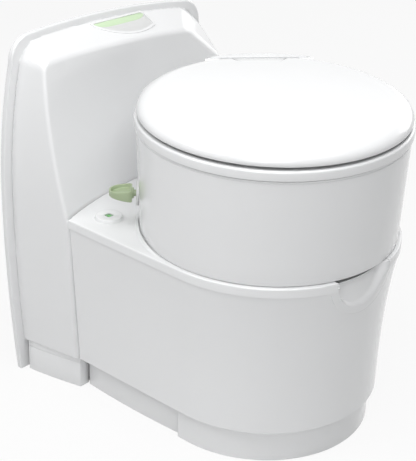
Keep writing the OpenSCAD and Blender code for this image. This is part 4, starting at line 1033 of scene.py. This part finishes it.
# mixes a shader with plain white of strength 1, by a share of what the eye sees
def whiteForSight(tree, shader, white, output, share):
    part = tree.nodes.new("ShaderNodeMath")
    part.operation = "MULTIPLY"
    part.inputs[1].default_value = share
    tree.links.new(seenByEye(tree), part.inputs[0])
    blend = tree.nodes.new("ShaderNodeMixShader")
    tree.links.new(part.outputs["Value"], blend.inputs["Fac"])
    tree.links.new(shader, blend.inputs[1])
    tree.links.new(white, blend.inputs[2])
    tree.links.new(blend.outputs["Shader"], output)


stageSizes = {"size": 60, "white": 0.90, "floor": 0.75}


def makeStage():
    k = stageSizes
    deselectAll()
    bpy.ops.mesh.primitive_plane_add(size=k["size"], location=(0, 0, 0))
    floor = newPiece("floor")
    mat = bpy.data.materials.new("floor")
    mat.use_nodes = True
    tree = mat.node_tree
    matt = tree.nodes["Principled BSDF"]
    matt.inputs["Base Color"].default_value = (k["floor"], k["floor"], k["floor"], 1)
    matt.inputs["Roughness"].default_value = 0.9
    glow = tree.nodes.new("ShaderNodeEmission")
    glow.inputs["Strength"].default_value = 1.0
    output = tree.nodes["Material Output"].inputs["Surface"]
    whiteForSight(tree, matt.outputs["BSDF"], glow.outputs["Emission"], output, k["white"])
    floor.data.materials.append(mat)


def makeCamera():
    c = cameraSizes
    data = bpy.data.cameras.new("camera")
    camera = bpy.data.objects.new("camera", data)
    bpy.context.scene.collection.objects.link(camera)
    forward = Vector(c["forward"]).normalized()
    right = forward.cross(Vector((0, 0, 1))).normalized()
    up = right.cross(forward)
    r = right * math.cos(c["roll"]) + up * math.sin(c["roll"])
    u = up * math.cos(c["roll"]) - right * math.sin(c["roll"])
    turn = Matrix((r, u, -forward)).transposed().to_4x4()
    camera.matrix_world = Matrix.Translation(c["place"]) @ turn
    data.sensor_width = 36
    data.sensor_fit = "HORIZONTAL"
    data.lens = c["lens"]
    data.shift_x, data.shift_y = c["shiftX"], c["shiftY"]
    data.clip_end = 20
    bpy.context.scene.camera = camera


# a rectangular lamp that looks at the aim
def areaLight(name, place, wide, high, power):
    data = bpy.data.lights.new(name, "AREA")
    data.energy = power
    data.shape = "RECTANGLE"
    data.size = wide
    data.size_y = high
    light = bpy.data.objects.new(name, data)
    bpy.context.scene.collection.objects.link(light)
    light.location = place
    light.rotation_euler = (Vector(aim) - Vector(place)).to_track_quat("-Z", "Y").to_euler()


# each lamp: direction round from +X and up in degrees, distance, width, height, power
lampSizes = {"key": (-49, 45, 2.6, 1.05, 2.2, 19),
             "left": (-120, 50, 2.5, 1.3, 1.3, 24),
             "rim": (93, 16, 2.4, 1.7, 1.0, 9),
             "top": (-20, 76, 1.3, 0.9, 0.9, 9.5),
             "low": (-62, 22, 2.6, 1.0, 1.0, 8)}
aim = (0.07, 0.0, 0.40)
skySizes = {"colour": (0.97, 0.985, 1, 1), "strength": 0.18}


def makeLight():
    bpy.context.scene.view_settings.view_transform = "Standard"
    world = bpy.data.worlds.new("studio")
    bpy.context.scene.world = world
    world.use_nodes = True
    tree = world.node_tree
    soft = tree.nodes["Background"]
    soft.inputs["Color"].default_value = skySizes["colour"]
    soft.inputs["Strength"].default_value = skySizes["strength"]
    white = tree.nodes.new("ShaderNodeBackground")
    white.inputs["Color"].default_value = (1, 1, 1, 1)
    output = tree.nodes["World Output"].inputs["Surface"]
    whiteForSight(tree, soft.outputs["Background"], white.outputs["Background"], output, 1)
    for name, (around, up, far, wide, high, power) in lampSizes.items():
        a, e = math.radians(around), math.radians(up)
        way = (math.cos(e) * math.cos(a), math.cos(e) * math.sin(a), math.sin(e))
        areaLight(name, [q + far * d for q, d in zip(aim, way)], wide, high, power)


makeCamera()
makeStage()
makeLight()
finishNodes()
print("stage, light and camera made")
makeLid()
makeSeat()
makeHingeBlock()
makeBowlWall()
print("bowl, seat and lid made")
makeBase()
makeBench()
makePlinths()
print("bench and base made")
makeFlange()
makeConsole()
makeControls()
makeIndicator()
makeKnob()
print("console and controls made")
